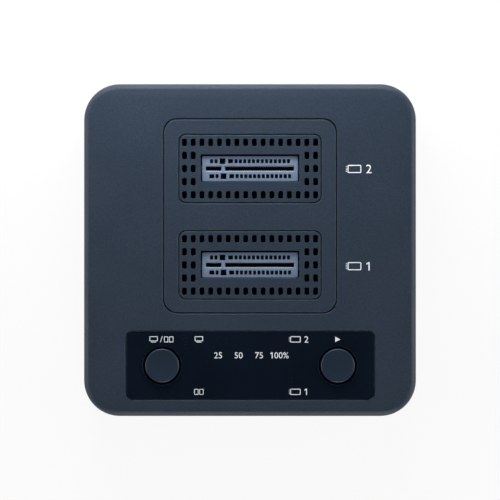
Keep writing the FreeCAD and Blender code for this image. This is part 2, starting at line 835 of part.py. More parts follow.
# ---------------------------------------------------------------- buttons and lamps


def make_button(label, side):
    """A round cap with a bevelled rim, an eight-sided flange that keeps it in, and a stem on its switch."""
    body = new_body(label, side * BUTTON_X, BUTTON_Y, 0)
    top = PANEL_TOP + S.button_rise
    flange_top = CEILING - S.button_flange_gap
    flange_bottom = flange_top - S.button_flange_thickness
    cap = circles_at(body, flange_bottom, S.button_radius, [(0, 0)])
    block = pad(body, cap, top - flange_bottom)
    chamfer(body, edges_at(block, top), S.button_edge)
    flange = sketch_on(body, "XY_Plane", flange_bottom)
    eight_sided(flange, S.button_flange, S.button_flange, S.button_flange_cut)
    pad(body, flange, S.button_flange_thickness)
    pad(body, posts_at(body, PLUNGER_TOP, S.button_stem, [(0, 0)]), flange_bottom - PLUNGER_TOP)
    return keep(body, label)


def make_plunger(label, side):
    """A tact switch's square plunger, which carries the button and slides in the switch base."""
    body = new_body(label, side * BUTTON_X, BUTTON_Y, 0)
    bottom = BOARD_TOP + S.tact_base_height - S.plunger_sunk
    pad(body, posts_at(body, bottom, S.plunger_size, [(0, 0)]), PLUNGER_TOP - bottom)
    return keep(body, label)


def make_tact_switches():
    """The two tact switches' bases, pressed metal covers and soldered legs."""
    bore_size = S.plunger_size + 2 * S.plunger_gap
    base = new_body("tact_base_master")
    square = sketch_on(base, "XY_Plane", 0)
    rectangle(square, S.tact_size, S.tact_size)
    pad(base, square, S.tact_base_height)
    bore = posts_at(base, S.tact_base_height, bore_size, [(0, 0)])
    pocket(base, bore, S.plunger_sunk + S.button_travel + S.plunger_foot_gap)

    cover = new_body("tact_cover_master")
    sheet = sketch_on(cover, "XY_Plane", 0)
    rectangle(sheet, S.tact_size, S.tact_size)
    rectangle(sheet, bore_size, bore_size)
    pad(cover, sheet, S.tact_cover_thickness)

    leg = new_body("tact_leg_master")
    profile = sketch_on(leg, "YZ_Plane", -S.tact_leg_width / 2)
    reach, thick, tall = S.tact_leg_reach, S.tab_thickness, S.tact_base_height / 2
    outline(profile, [(0, 0), (reach, 0), (reach, thick), (thick, thick), (thick, tall), (0, tall)])
    pad(leg, profile, S.tact_leg_width)

    spots = [(side * BUTTON_X, BUTTON_Y) for side in (-1, 1)]
    group("switch_bases", base, [(x, y, BOARD_TOP, 0) for x, y in spots])
    group("switch_covers", cover, [(x, y, BOARD_TOP + S.tact_base_height, 0) for x, y in spots])
    legs = []
    for x, y in spots:
        for across in (-1, 1):
            leg_x = x + across * S.tact_leg_spacing / 2
            legs.append((leg_x, y + S.tact_size / 2, BOARD_TOP, 0))
            legs.append((leg_x, y - S.tact_size / 2, BOARD_TOP, 180))
    group("switch_terminals", leg, legs)


def make_lamps():
    """Eight surface lamps on the board, and the clear guide that leads their light to the panel."""
    lamp = new_body("lamp_master")
    square = sketch_on(lamp, "XY_Plane", 0)
    rectangle(square, S.lamp_length, S.lamp_width)
    pad(lamp, square, S.lamp_height)
    group("indicator_leds", lamp, [(x, y, BOARD_TOP, 0) for x, y in lamp_places()])

    guide = new_body("light_guide")
    plate = sketch_on(guide, "XY_Plane", CEILING - S.guide_plate)
    margin = S.guide_post + 2 * S.guide_margin
    rectangle(plate, LAMP_SPAN + margin, 2 * S.lamp_row_spread + margin, S.lamp_side_shift, LAMP_ROW_Y)
    pad(guide, plate, S.guide_plate)
    post_bottom = BOARD_TOP + S.lamp_height + S.guide_lamp_gap
    posts = sketch_on(guide, "XY_Plane", post_bottom)
    for x, y in lamp_places():
        rectangle(posts, S.guide_post, S.guide_post, x, y)
    pad(guide, posts, PANEL_SEAT - post_bottom)
    keep(guide, "light_guide")


# ---------------------------------------------------------------- board and sockets


def make_main_board():
    """The circuit board, with a square notch at each corner for the screw posts."""
    body = new_body("main_board")
    sheet = sketch_on(body, "XY_Plane", BOARD_BOTTOM)
    reach = S.screw_post_size / 2 + S.board_post_gap
    in_x, in_y = SCREW_X - reach, SCREW_Y - reach
    corner = [(BOARD_X, in_y), (in_x, in_y), (in_x, BOARD_Y)]
    ring = corner + [(-x, y) for x, y in reversed(corner)]
    ring = ring + [(-x, -y) for x, y in ring]
    outline(sheet, ring)
    pad(body, sheet, S.board_thickness)
    return keep(body, "main_board")


def key_edges():
    """The two sides of the key rib, along the socket."""
    return -S.key_offset - S.key_width / 2, -S.key_offset + S.key_width / 2


def strip(sketch, left, right, width):
    """A rectangle from left to right, centred across the socket."""
    half = width / 2
    outline(sketch, [(left, -half), (right, -half), (right, half), (left, half)])


def make_socket_housing(label, bay_y):
    """An upright edge-card socket: card slot with its key rib, contact cavities and rows of core-outs."""
    body = new_body(label, 0, bay_y, BOARD_TOP)
    block = sketch_on(body, "XY_Plane", S.socket_standoff)
    rectangle(block, S.socket_length, S.socket_depth)
    pad(body, block, S.socket_height - S.socket_standoff)
    pads = sketch_on(body, "XY_Plane", 0)
    for side in (-1, 1):
        pad_x = side * (S.socket_length - S.socket_end_pad) / 2
        rectangle(pads, S.socket_end_pad, S.socket_depth, pad_x, 0)
    pad(body, pads, S.socket_standoff)

    key_left, key_right = key_edges()
    cavities = sketch_on(body, "XY_Plane", S.socket_height - S.slot_lip)
    strip(cavities, -S.cavity_length / 2, key_left - S.cavity_wall, S.cavity_width)
    strip(cavities, key_right + S.cavity_wall, S.cavity_length / 2, S.cavity_width)
    pocket(body, cavities)
    slots = sketch_on(body, "XY_Plane", S.socket_height)
    strip(slots, -S.slot_length / 2, key_left, S.slot_width)
    strip(slots, key_right, S.slot_length / 2, S.slot_width)
    pocket(body, slots, S.slot_lip)
    chamfer(body, edges_at(body.Tip, S.socket_height, S.slot_length / 2, S.slot_width / 2), S.slot_lead_in)
    cut_core_outs(body)
    return keep(body, label)


def cut_core_outs(body):
    """The blind core-outs either side of the slot: a run at twice the contact pitch, four beside the key."""
    for side, first_width in ((1, S.core_small_width), (-1, S.core_wide)):
        y = side * S.core_row_offset
        shift = 0 if side > 0 else S.core_row_shift
        run = sketch_on(body, "XY_Plane", S.socket_height)
        rectangle(run, S.core_small_width, S.core_small_height, S.core_first_x + shift, y)
        row_of(body, pocket(body, run, S.core_depth), run, "H_Axis", 2 * S.contact_pitch, S.core_run_count)
        beside_key = sketch_on(body, "XY_Plane", S.socket_height)
        rectangle(beside_key, first_width, S.core_small_height, S.core_end_x + shift, y)
        rectangle(beside_key, S.core_small_width, S.core_small_height, S.core_second_x + shift, y)
        rectangle(beside_key, S.core_large, S.core_large, S.core_large_x + shift, y)
        rectangle(beside_key, S.core_wide, S.core_small_height, S.core_wide_x + shift, y)
        pocket(body, beside_key, S.core_depth)


def make_socket_contacts(label, bay_y):
    """The socket's contacts as separate springs: odd ones in front, even ones behind, none at the key."""
    node = DOCUMENT.addObject("Part::Feature", label)
    thick = S.contact_thickness.value
    root, tip = S.contact_root.value, S.contact_tip.value
    tall, width, pitch = S.contact_height.value, S.contact_width.value, S.contact_pitch.value
    section = [(root, 0), (root + thick, 0), (tip, tall)]
    last = S.count("contact_count")
    springs = []
    for number in range(1, last + 1):
        middle = ((last + 1) / 2 - number) * pitch / 2
        if abs(middle + S.key_offset.value) < S.contact_key_gap.value / 2:
            continue
        left = middle - width / 2
        side = -1 if number % 2 else 1
        points = [Vector(left, side * y, z) for y, z in section]
        face = Part.Face(Part.makePolygon(points + points[:1]))
        springs.append(face.extrude(Vector(width, 0, 0)))
    node.Shape = Part.makeCompound(springs)
    for path, amount in (("y", bay_y), ("z", BOARD_TOP)):
        bind(node, f"Placement.Base.{path}", amount)
    return keep(node, label)


def make_hold_downs():
    """The bent tabs that solder each socket's ends to the board."""
    tab = new_body("hold_down_master")
    profile = sketch_on(tab, "XZ_Plane", S.tab_width / 2)
    thick, foot, tall = S.tab_thickness, S.tab_foot, S.tab_height
    outline(profile, [(0, 0), (foot, 0), (foot, thick), (thick, thick), (thick, tall), (0, tall)])
    pad(tab, profile, S.tab_width)
    reach = S.socket_length / 2
    places = []
    for bay_y in (REAR_BAY_Y, FRONT_BAY_Y):
        places.append((reach, bay_y, BOARD_TOP, 0))
        places.append((-reach, bay_y, BOARD_TOP, 180))
    group("socket_hold_downs", tab, places)


def make_block(label, width, depth, height, level=0):
    """A plain rectangular part that stands on a level of its own."""
    body = new_body(label)
    base = sketch_on(body, "XY_Plane", level)
    rectangle(base, width, depth)
    pad(body, base, height)
    return body


def make_chip(label, width, depth, height):
    """A flat moulded package with a bevelled face."""
    body = make_block(label, width, depth, height)
    chamfer(body, edges_at(body.Tip, height), S.chip_chamfer)
    return body


def make_board_parts():
    """The chips and crystals on top of the board, and the power parts that hang under it."""
    controller = make_chip("controller_master", S.controller_size, S.controller_size, S.controller_height)
    group("controller_chip", controller, [(S.controller_inset - BOARD_X, S.controller_y, BOARD_TOP, 0)])
    bridge = make_chip("bridge_master", S.bridge_size, S.bridge_size, S.bridge_height)
    spots = [(BOARD_X - S.bridge_inset, y, BOARD_TOP, 0) for y in (S.bridge_rear_y, S.bridge_front_y)]
    group("bridge_chips", bridge, spots)
    flash = make_chip("flash_master", S.flash_width, S.flash_depth, S.flash_height)
    group("flash_chip", flash, [(S.flash_inset - BOARD_X, S.flash_y, BOARD_TOP, 0)])
    crystal = make_chip("crystal_master", S.crystal_width, S.crystal_depth, S.crystal_height)
    spots = [(side * (BOARD_X - S.crystal_side_inset), BOARD_Y - S.crystal_end_inset) for side in (-1, 1)]
    group("crystals", crystal, [(x, y, BOARD_TOP, 0) for x, y in spots])

    width, height = S.inductor_size, S.inductor_height
    coil = make_block("inductor_master", width, width, height, -height)
    spots = [(step * S.inductor_pitch, S.inductor_y, BOARD_BOTTOM, 0) for step in (-1, 0, 1)]
    group("power_inductors", coil, spots)
    width, length, height = S.reservoir_width, S.reservoir_length, S.reservoir_height
    block = make_block("reservoir_master", width, length, height, -height)
    spots = [(step * S.reservoir_pitch, S.reservoir_y, BOARD_BOTTOM, 0) for step in (-1, 0, 1)]
    group("reservoir_capacitors", block, spots)
    small = make_block("filter_master", S.filter_width, S.filter_length, S.filter_height, -S.filter_height)
    count = S.count("filter_count")
    places = [S.filter_pitch * (step - (count - 1) / 2) for step in range(count)]
    group("ceramic_capacitors", small, [(x, S.filter_y, BOARD_BOTTOM, 0) for x in places])


# ---------------------------------------------------------------- rear ports


def make_power_inlet():
    """The barrel inlet hung under the board: housing, centre pin, barrel spring and solder tags."""
    body = new_body("dc_jack_housing", -PORT_X, 0, INLET_AXIS)
    root_size, fit = S.inlet_pin_root, S.inlet_fit_gap
    block_top = S.inlet_axis_depth
    block = sketch_on(body, "XZ_Plane", PORT_SHOULDER)
    rectangle(block, S.inlet_width, S.inlet_height, 0, block_top - S.inlet_height / 2)
    pad(body, block, S.inlet_length)
    nose = sketch_on(body, "XZ_Plane", PORT_FACE)
    circle(nose, S.inlet_nose_radius)
    pad(body, nose, PORT_FACE - PORT_SHOULDER)
    bore = sketch_on(body, "XZ_Plane", PORT_FACE)
    circle(bore, S.inlet_bore_radius)
    pocket(body, bore, S.inlet_bore_depth, backwards=True)
    bore_floor = PORT_FACE - S.inlet_bore_depth
    back = PORT_SHOULDER - S.inlet_length
    root = sketch_on(body, "XZ_Plane", back)
    rectangle(root, root_size + 2 * fit, root_size + 2 * fit)
    pocket(body, root, bore_floor - back)
    spring_floor = -S.inlet_bore_radius - S.inlet_spring_thickness
    groove = sketch_on(body, "XZ_Plane", bore_floor)
    rectangle(groove, S.inlet_spring_width + 2 * fit, -spring_floor, 0, spring_floor / 2)
    pocket(body, groove, PORT_SHOULDER - bore_floor)
    keep(body, "dc_jack_housing")

    pin = new_body("dc_jack_pin", -PORT_X, 0, INLET_AXIS)
    tip = PORT_FACE - S.inlet_pin_recess
    shaft = sketch_on(pin, "XZ_Plane", tip)
    circle(shaft, S.inlet_pin_radius)
    rod = pad(pin, shaft, tip - bore_floor)
    chamfer(pin, edges_at(rod, tip, along="y"), S.inlet_pin_tip)
    stub = sketch_on(pin, "XZ_Plane", bore_floor)
    rectangle(stub, root_size, root_size)
    pad(pin, stub, bore_floor - back)
    keep(pin, "dc_jack_pin")

    leaf = new_body("dc_jack_spring", -PORT_X, 0, INLET_AXIS)
    side = sketch_on(leaf, "YZ_Plane", -S.inlet_spring_width / 2)
    middle = (bore_floor + PORT_SHOULDER) / 2
    low, high = spring_floor, -S.inlet_bore_radius
    start, end = bore_floor + fit, PORT_SHOULDER - fit
    bulge = S.inlet_spring_bulge
    outline(side, [(start, low), (end, low), (end, high), (middle, high + bulge), (start, high)])
    pad(leaf, side, S.inlet_spring_width)
    keep(leaf, "dc_jack_spring")

    tag = new_body("inlet_tag_master", 0, 0, 0)
    plate = sketch_on(tag, "XZ_Plane", 0)
    tag_foot = root_size / 2
    rectangle(plate, S.inlet_tag_width, block_top + tag_foot, 0, (block_top - tag_foot) / 2)
    pad(tag, plate, S.inlet_tag_thickness)
    group("dc_jack_terminals", tag, [(-PORT_X, back, INLET_AXIS, 0)])


def make_data_port():
    """The data port hung under the board: drawn metal shell, and moulded tongue on its base."""
    back = PORT_FACE - S.data_length
    floor = back + S.data_back
    shell = new_body("usb_c_shell", S.data_x, 0, DATA_AXIS)
    outside = sketch_on(shell, "XZ_Plane", PORT_FACE)
    rounded_rectangle(outside, S.data_width, S.data_height, S.data_radius)
    pad(shell, outside, S.data_length)
    inner_width = S.data_width - 2 * S.data_skin
    inner_height = S.data_height - 2 * S.data_skin
    inner_radius = S.data_radius - S.data_skin
    mouth = sketch_on(shell, "XZ_Plane", PORT_FACE)
    rounded_rectangle(mouth, inner_width, inner_height, inner_radius)
    pocket(shell, mouth, S.data_length - S.data_back, backwards=True)
    keep(shell, "usb_c_shell")

    tongue = new_body("usb_c_tongue", S.data_x, 0, DATA_AXIS)
    tip = PORT_FACE - S.data_tongue_recess
    root = tip - S.data_tongue_length
    base = sketch_on(tongue, "XZ_Plane", root)
    gap = 2 * S.data_tongue_gap
    eight_sided(base, inner_width - gap, inner_height - gap, S.data_base_corner)
    pad(tongue, base, root - floor)
    blade = sketch_on(tongue, "XZ_Plane", tip)
    rectangle(blade, S.data_tongue_width, S.data_tongue_height)
    pad(tongue, blade, S.data_tongue_length)
    keep(tongue, "usb_c_tongue")


def make_power_switch():
    """The rocker switch hung under the board: its frame, the rocker tilted to off, and its legs."""
    frame = new_body("power_switch_housing", PORT_X, 0, ROCKER_AXIS)
    block = sketch_on(frame, "XZ_Plane", PORT_SHOULDER)
    rectangle(block, S.rocker_frame_width, S.rocker_frame_height)
    pad(frame, block, S.rocker_frame_depth)
    nose = sketch_on(frame, "XZ_Plane", PORT_FACE)
    rectangle(nose, S.rocker_nose_width, S.rocker_nose_height)
    pad(frame, nose, PORT_FACE - PORT_SHOULDER)
    mouth = sketch_on(frame, "XZ_Plane", PORT_FACE)
    rectangle(mouth, S.rocker_cavity_width, S.rocker_cavity_height)
    pocket(frame, mouth, S.rocker_cavity_depth, backwards=True)
    pin_reach = S.rocker_width / 2 + S.rocker_pin_length
    bearing = sketch_on(frame, "XY_Plane", pin_reach + S.rocker_pin_gap)
    circle(bearing, S.rocker_pin_radius + S.rocker_pin_gap, 0, ROCKER_PIVOT_Y)
    pocket(frame, bearing, 2 * (pin_reach + S.rocker_pin_gap))
    keep(frame, "power_switch_housing")

    rocker = new_body("power_rocker", PORT_X, ROCKER_PIVOT_Y, ROCKER_AXIS)
    bind(rocker, "Placement.Rotation.Angle", -S.rocker_tilt)
    half, high, low = S.rocker_half_length, S.rocker_end_height, S.rocker_shoulder
    foot, drop = S.rocker_foot_half, S.rocker_foot_drop
    side = sketch_on(rocker, "XY_Plane", -S.rocker_width / 2)
    left = [(0, S.rocker_middle_height), (-half, high), (-half, low), (-foot, -drop)]
    outline(side, left + [(foot, -drop), (half, low), (half, high)])
    pad(rocker, side, S.rocker_width)
    pins = circles_at(rocker, -pin_reach, S.rocker_pin_radius, [(0, 0)])
    pad(rocker, pins, 2 * pin_reach)
    keep(rocker, "power_rocker")

    leg = new_body("rocker_leg_master")
    profile = sketch_on(leg, "YZ_Plane", -S.rocker_leg_width / 2)
    thick = S.rocker_leg_thickness
    tall = S.rocker_frame_height / 2
    reach = 2 * S.rocker_leg_width
    bend = [(0, -tall), (0, 0), (-reach, 0), (-reach, -thick), (-thick, -thick), (-thick, -tall)]
    outline(profile, bend)
    pad(leg, profile, S.rocker_leg_width)
    back = PORT_SHOULDER - S.rocker_frame_depth
    spots = [(PORT_X + step * S.rocker_leg_pitch, back, BOARD_BOTTOM, 0) for step in (-1, 0, 1)]
    group("power_switch_terminals", leg, spots)


# ---------------------------------------------------------------- build, check and write


def build():
    """Model every sub-part."""
    make_top_shell()
    make_bottom_cover()
    make_bay_plate()
    make_grille("rear_grille", REAR_BAY_Y)
    make_grille("front_grille", FRONT_BAY_Y)
    make_control_panel()
    make_feet()
    make_button("mode_button", -1)
    make_button("start_button", 1)
    make_plunger("mode_plunger", -1)
    make_plunger("start_plunger", 1)
    make_tact_switches()
    make_lamps()
    make_main_board()
    make_socket_housing("rear_socket_housing", REAR_BAY_Y)
    make_socket_housing("front_socket_housing", FRONT_BAY_Y)
    make_socket_contacts("rear_socket_contacts", REAR_BAY_Y)
    make_socket_contacts("front_socket_contacts", FRONT_BAY_Y)
    make_hold_downs()
    make_board_parts()
    make_power_inlet()
    make_data_port()
    make_power_switch()


def check():
    """Stop on any object that failed, and on any sub-part without a sound shape."""
    DOCUMENT.recompute()
    for item in DOCUMENT.Objects:
        if "Invalid" in item.State or "Error" in item.State:
            raise RuntimeError(f"{item.Label} failed: {item.State}")
    for piece in NODES:
        if piece.Shape.isNull() or not piece.Shape.isValid():
            raise RuntimeError(f"{piece.Label} has no sound shape")


def write():
    """Write each sub-part to its own STEP file."""
    os.makedirs("parts", exist_ok=True)
    for piece in NODES:
        piece.Shape.exportStep(f"parts/{piece.Label}.step")


build()
check()
write()
print(f"{len(NODES)} sub-parts written")
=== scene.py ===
import json
import math

import bmesh
import bpy
import numpy as np
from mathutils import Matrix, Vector
from mathutils.geometry import delaunay_2d_cdt

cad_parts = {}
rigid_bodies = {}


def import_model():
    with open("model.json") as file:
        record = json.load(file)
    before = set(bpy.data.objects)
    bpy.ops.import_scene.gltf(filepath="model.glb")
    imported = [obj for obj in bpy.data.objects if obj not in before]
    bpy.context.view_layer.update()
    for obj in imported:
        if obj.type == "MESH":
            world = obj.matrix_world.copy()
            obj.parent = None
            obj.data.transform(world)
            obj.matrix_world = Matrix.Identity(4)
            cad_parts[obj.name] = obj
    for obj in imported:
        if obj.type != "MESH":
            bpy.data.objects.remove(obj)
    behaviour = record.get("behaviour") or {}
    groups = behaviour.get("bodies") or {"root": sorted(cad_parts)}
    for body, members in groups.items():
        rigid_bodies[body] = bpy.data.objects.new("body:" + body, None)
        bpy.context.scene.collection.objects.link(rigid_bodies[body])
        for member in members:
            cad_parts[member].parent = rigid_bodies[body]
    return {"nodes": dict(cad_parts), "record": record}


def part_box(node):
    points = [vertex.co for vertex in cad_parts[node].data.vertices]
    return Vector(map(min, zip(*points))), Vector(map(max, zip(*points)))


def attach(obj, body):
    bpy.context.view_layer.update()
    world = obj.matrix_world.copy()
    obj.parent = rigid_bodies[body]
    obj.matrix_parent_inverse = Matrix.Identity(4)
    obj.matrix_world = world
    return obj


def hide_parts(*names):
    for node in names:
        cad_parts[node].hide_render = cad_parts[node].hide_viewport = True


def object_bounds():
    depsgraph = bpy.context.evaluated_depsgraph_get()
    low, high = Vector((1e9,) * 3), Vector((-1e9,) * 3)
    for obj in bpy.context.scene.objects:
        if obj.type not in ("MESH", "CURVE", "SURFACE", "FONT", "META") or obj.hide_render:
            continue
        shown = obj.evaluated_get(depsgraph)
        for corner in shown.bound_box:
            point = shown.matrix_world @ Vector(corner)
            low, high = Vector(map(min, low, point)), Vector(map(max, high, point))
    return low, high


for leftover in list(bpy.data.objects):
    bpy.data.objects.remove(leftover)
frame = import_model()
cad_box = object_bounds()

# Two-bay drive duplicator. Metres, in the frame of the solids: +Z up, +Y to the rear ports.
MM = 0.001
SOFT_EDGE_ANGLE = math.radians(28)
ROUNDED_ANGLE = math.radians(35)
FLAT_ANGLE = math.radians(0.4)
WELD = 0.0002 * MM
BODY_OF = {node: body for body, nodes in frame["record"]["behaviour"]["bodies"].items() for node in nodes}
SLOT_OF = {part["node"]: part["material_slot"] for part in frame["record"]["subparts"]}


def colour(red, green, blue):
    """A display colour, 0 to 255 per channel, as the linear colour that the shader takes."""
    share = np.array([red, green, blue]) / 255.0
    linear = np.where(share <= 0.04045, share / 12.92, ((share + 0.055) / 1.055) ** 2.4)
    return (*linear.tolist(), 1.0)


# ---------------------------------------------------------------- shader parts


def feed(tree, socket, value):
    """Give an input its value, which is a plain one or another node's output."""
    if isinstance(value, bpy.types.NodeSocket):
        tree.links.new(value, socket)
    else:
        socket.default_value = value


def wire(tree, kind, at, inputs=None, **settings):
    """Add a node with its settings and its inputs by name or number."""
    node = tree.nodes.new(kind)
    node.location = at
    for name, value in settings.items():
        setattr(node, name, value)
    for name, value in (inputs or {}).items():
        feed(tree, node.inputs[name], value)
    return node


def combine(tree, at, operation, first, second):
    """Two values taken together by one operation, such as MULTIPLY or MAXIMUM."""
    return wire(tree, "ShaderNodeMath", at, {0: first, 1: second}, operation=operation).outputs[0]


def new_group(name, inputs, outputs):
    """An empty node group with named inputs (name, kind, default) and outputs (name, kind)."""
    tree = bpy.data.node_groups.new(name, "ShaderNodeTree")
    for label, kind, default in inputs:
        socket = tree.interface.new_socket(label, in_out="INPUT", socket_type=kind)
        socket.default_value = default
    for label, kind in outputs:
        tree.interface.new_socket(label, in_out="OUTPUT", socket_type=kind)
    source = tree.nodes.new("NodeGroupInput")
    source.location = (-900, 0)
    sink = tree.nodes.new("NodeGroupOutput")
    sink.location = (900, 0)
    return tree, source, sink


def ramp(tree, at, factor, low, high, from_low, from_high):
    """A smooth remap of a value from one range to another, held at the ends."""
    return wire(
        tree, "ShaderNodeMapRange", at,
        {"Value": factor, "From Min": from_low, "From Max": from_high, "To Min": low, "To Max": high},
        interpolation_type="SMOOTHSTEP",
    ).outputs["Result"]


def blend(tree, at, factor, first, second, kind, **settings):
    """A mix of two values (FLOAT) or two colours (RGBA)."""
    node = wire(tree, "ShaderNodeMix", at, data_type=kind, **settings)
    for name, value in (("Factor", factor), ("A", first), ("B", second)):
        feed(tree, next(socket for socket in node.inputs if socket.name == name and socket.enabled), value)
    return next(socket for socket in node.outputs if socket.enabled)


def blend_values(tree, at, factor, first, second):
    """A plain mix of two values."""
    return blend(tree, at, factor, first, second, "FLOAT")


def blend_colours(tree, at, factor, first, second, mode="MIX"):
    """A mix of two colours."""
    return blend(tree, at, factor, first, second, "RGBA", blend_type=mode)


def noise(tree, at, place, scale, **settings):
    """Soft noise from 0 to 1 over the object, with its other inputs as named."""
    inputs = {"Vector": place, "Scale": scale, **settings}
    return wire(tree, "ShaderNodeTexNoise", at, inputs).outputs["Fac"]


def object_place(tree, at):
    """Where a spot lies on the object."""
    return wire(tree, "ShaderNodeTexCoord", at).outputs["Object"]


def make_grain_group():
    """Spark-eroded mould grain: rounded bumps over finer noise, with a slow mottle across the surface."""
    tree, source, sink = new_group(
        "mould_grain",
        [("Grain Scale", "NodeSocketFloat", 2600.0), ("Mottle Scale", "NodeSocketFloat", 60.0)],
        [("Height", "NodeSocketFloat"), ("Speck", "NodeSocketFloat"), ("Mottle", "NodeSocketFloat")],
    )
    place = object_place(tree, (-900, -300))
    scale = source.outputs["Grain Scale"]
    pits = wire(
        tree, "ShaderNodeTexVoronoi", (-500, 200), {"Vector": place, "Scale": scale, "Randomness": 1.0},
        feature="SMOOTH_F1",
    ).outputs["Distance"]
    fine = noise(tree, (-500, -100), place, scale, Detail=3.0, Roughness=0.6)
    slow = noise(tree, (-500, -400), place, source.outputs["Mottle Scale"], Detail=2.0, Roughness=0.5)
    height = blend_values(tree, (0, 150), 0.5, pits, fine)
    tree.links.new(height, sink.inputs["Height"])
    tree.links.new(ramp(tree, (200, -50), fine, 0.0, 1.0, 0.35, 0.65), sink.inputs["Speck"])
    tree.links.new(ramp(tree, (200, -350), slow, 0.0, 1.0, 0.3, 0.7), sink.inputs["Mottle"])
    return tree


def make_edge_group():
    """Edge wear and painted highlight: how far the rounded normal leaves the true one, broken up by noise."""
    tree, source, sink = new_group(
        "edge_wear_and_painted_highlight",
        [("Width", "NodeSocketFloat", 0.0004), ("Break Up", "NodeSocketFloat", 900.0)],
        [("Edge", "NodeSocketFloat")],
    )
    bevel = wire(tree, "ShaderNodeBevel", (-500, 200), {"Radius": source.outputs["Width"]}, samples=4)
    true_normal = wire(tree, "ShaderNodeNewGeometry", (-500, -50)).outputs["Normal"]
    inputs = {0: bevel.outputs["Normal"], 1: true_normal}
    dot = wire(tree, "ShaderNodeVectorMath", (-250, 100), inputs, operation="DOT_PRODUCT")
    turn = ramp(tree, (0, 100), dot.outputs["Value"], 1.0, 0.0, 0.93, 0.998)
    place = object_place(tree, (-500, -300))
    wear = noise(tree, (-250, -300), place, source.outputs["Break Up"], Detail=3.0)
    broken = ramp(tree, (0, -300), wear, 0.35, 1.0, 0.35, 0.65)
    tree.links.new(combine(tree, (300, 0), "MULTIPLY", turn, broken), sink.inputs["Edge"])
    return tree


def make_dust_group():
    """Settled dust: sparse specks and a thin film, only where the surface faces up."""
    tree, source, sink = new_group(
        "settled_dust",
        [("Speck Scale", "NodeSocketFloat", 1400.0)],
        [("Dust", "NodeSocketFloat")],
    )
    normal = wire(tree, "ShaderNodeNewGeometry", (-700, 200)).outputs["Normal"]
    upward = wire(tree, "ShaderNodeSeparateXYZ", (-500, 200), {"Vector": normal}).outputs["Z"]
    facing = ramp(tree, (-250, 200), upward, 0.0, 1.0, 0.6, 1.0)
    place = object_place(tree, (-700, -150))
    cells = wire(
        tree, "ShaderNodeTexVoronoi", (-500, -150), {"Vector": place, "Scale": source.outputs["Speck Scale"]},
    ).outputs["Distance"]
    specks = ramp(tree, (-250, -50), cells, 1.0, 0.0, 0.02, 0.09)
    where = noise(tree, (-500, -400), place, 160.0, Detail=2.0)
    patches = ramp(tree, (-250, -400), where, 0.0, 1.0, 0.45, 0.7)
    sparse = combine(tree, (100, -100), "MULTIPLY", specks, patches)
    tree.links.new(combine(tree, (300, 0), "MULTIPLY", sparse, facing), sink.inputs["Dust"])
    return tree


def make_drawn_metal_group():
    """Rolled and drawn metal: long streaks along one axis and a slow tarnish."""
    tree, source, sink = new_group(
        "drawn_metal",
        [("Stretch", "NodeSocketVector", (400.0, 9000.0, 9000.0))],
        [("Streak", "NodeSocketFloat"), ("Tarnish", "NodeSocketFloat")],
    )
    place = object_place(tree, (-700, 0))
    inputs = {0: place, 1: source.outputs["Stretch"]}
    stretched = wire(tree, "ShaderNodeVectorMath", (-500, 100), inputs, operation="MULTIPLY")
    streak = noise(tree, (-250, 100), stretched.outputs["Vector"], 1.0, Detail=2.0)
    tarnish = noise(tree, (-250, -200), place, 500.0, Detail=4.0)
    tree.links.new(streak, sink.inputs["Streak"])
    tree.links.new(ramp(tree, (0, -200), tarnish, 0.0, 1.0, 0.4, 0.75), sink.inputs["Tarnish"])
    return tree


# Dust colour, and the near-black painted shade for deep pockets.
DUST_TONE, PAINTED_POCKET_SHADE = colour(120, 122, 126), colour(12, 14, 18)
GRAIN = make_grain_group()
EDGES = make_edge_group()
DUST = make_dust_group()
DRAWN = make_drawn_metal_group()


def use(tree, group, at, **inputs):
    """Place a node group and set its inputs, with spaces in names written as underscores."""
    node = tree.nodes.new("ShaderNodeGroup")
    node.node_tree = group
    node.location = at
    for name, value in inputs.items():
        node.inputs[name.replace("_", " ")].default_value = value
    return node


def blank_material(name):
    """A material with only its output and a Principled shader joined to it."""
    material = bpy.data.materials.new(name)
    material.use_nodes = True
    tree = material.node_tree
    tree.nodes.clear()
    output = wire(tree, "ShaderNodeOutputMaterial", (900, 0))
    shader = wire(tree, "ShaderNodeBsdfPrincipled", (600, 0))
    tree.links.new(shader.outputs["BSDF"], output.inputs["Surface"])
    return material, tree, shader


def add_relief(tree, shader, strength, distance, height):
    """Fine relief on a shader, from a height."""
    relief = wire(
        tree, "ShaderNodeBump", (300, -250), {"Strength": strength, "Distance": distance, "Height": height},
    )
    tree.links.new(relief.outputs["Normal"], shader.inputs["Normal"])


def shade(tone, share):
    """A colour made paler or deeper by a share of itself, at most white."""
    return tuple(min(1.0, channel * share) for channel in tone[:3]) + (1.0,)


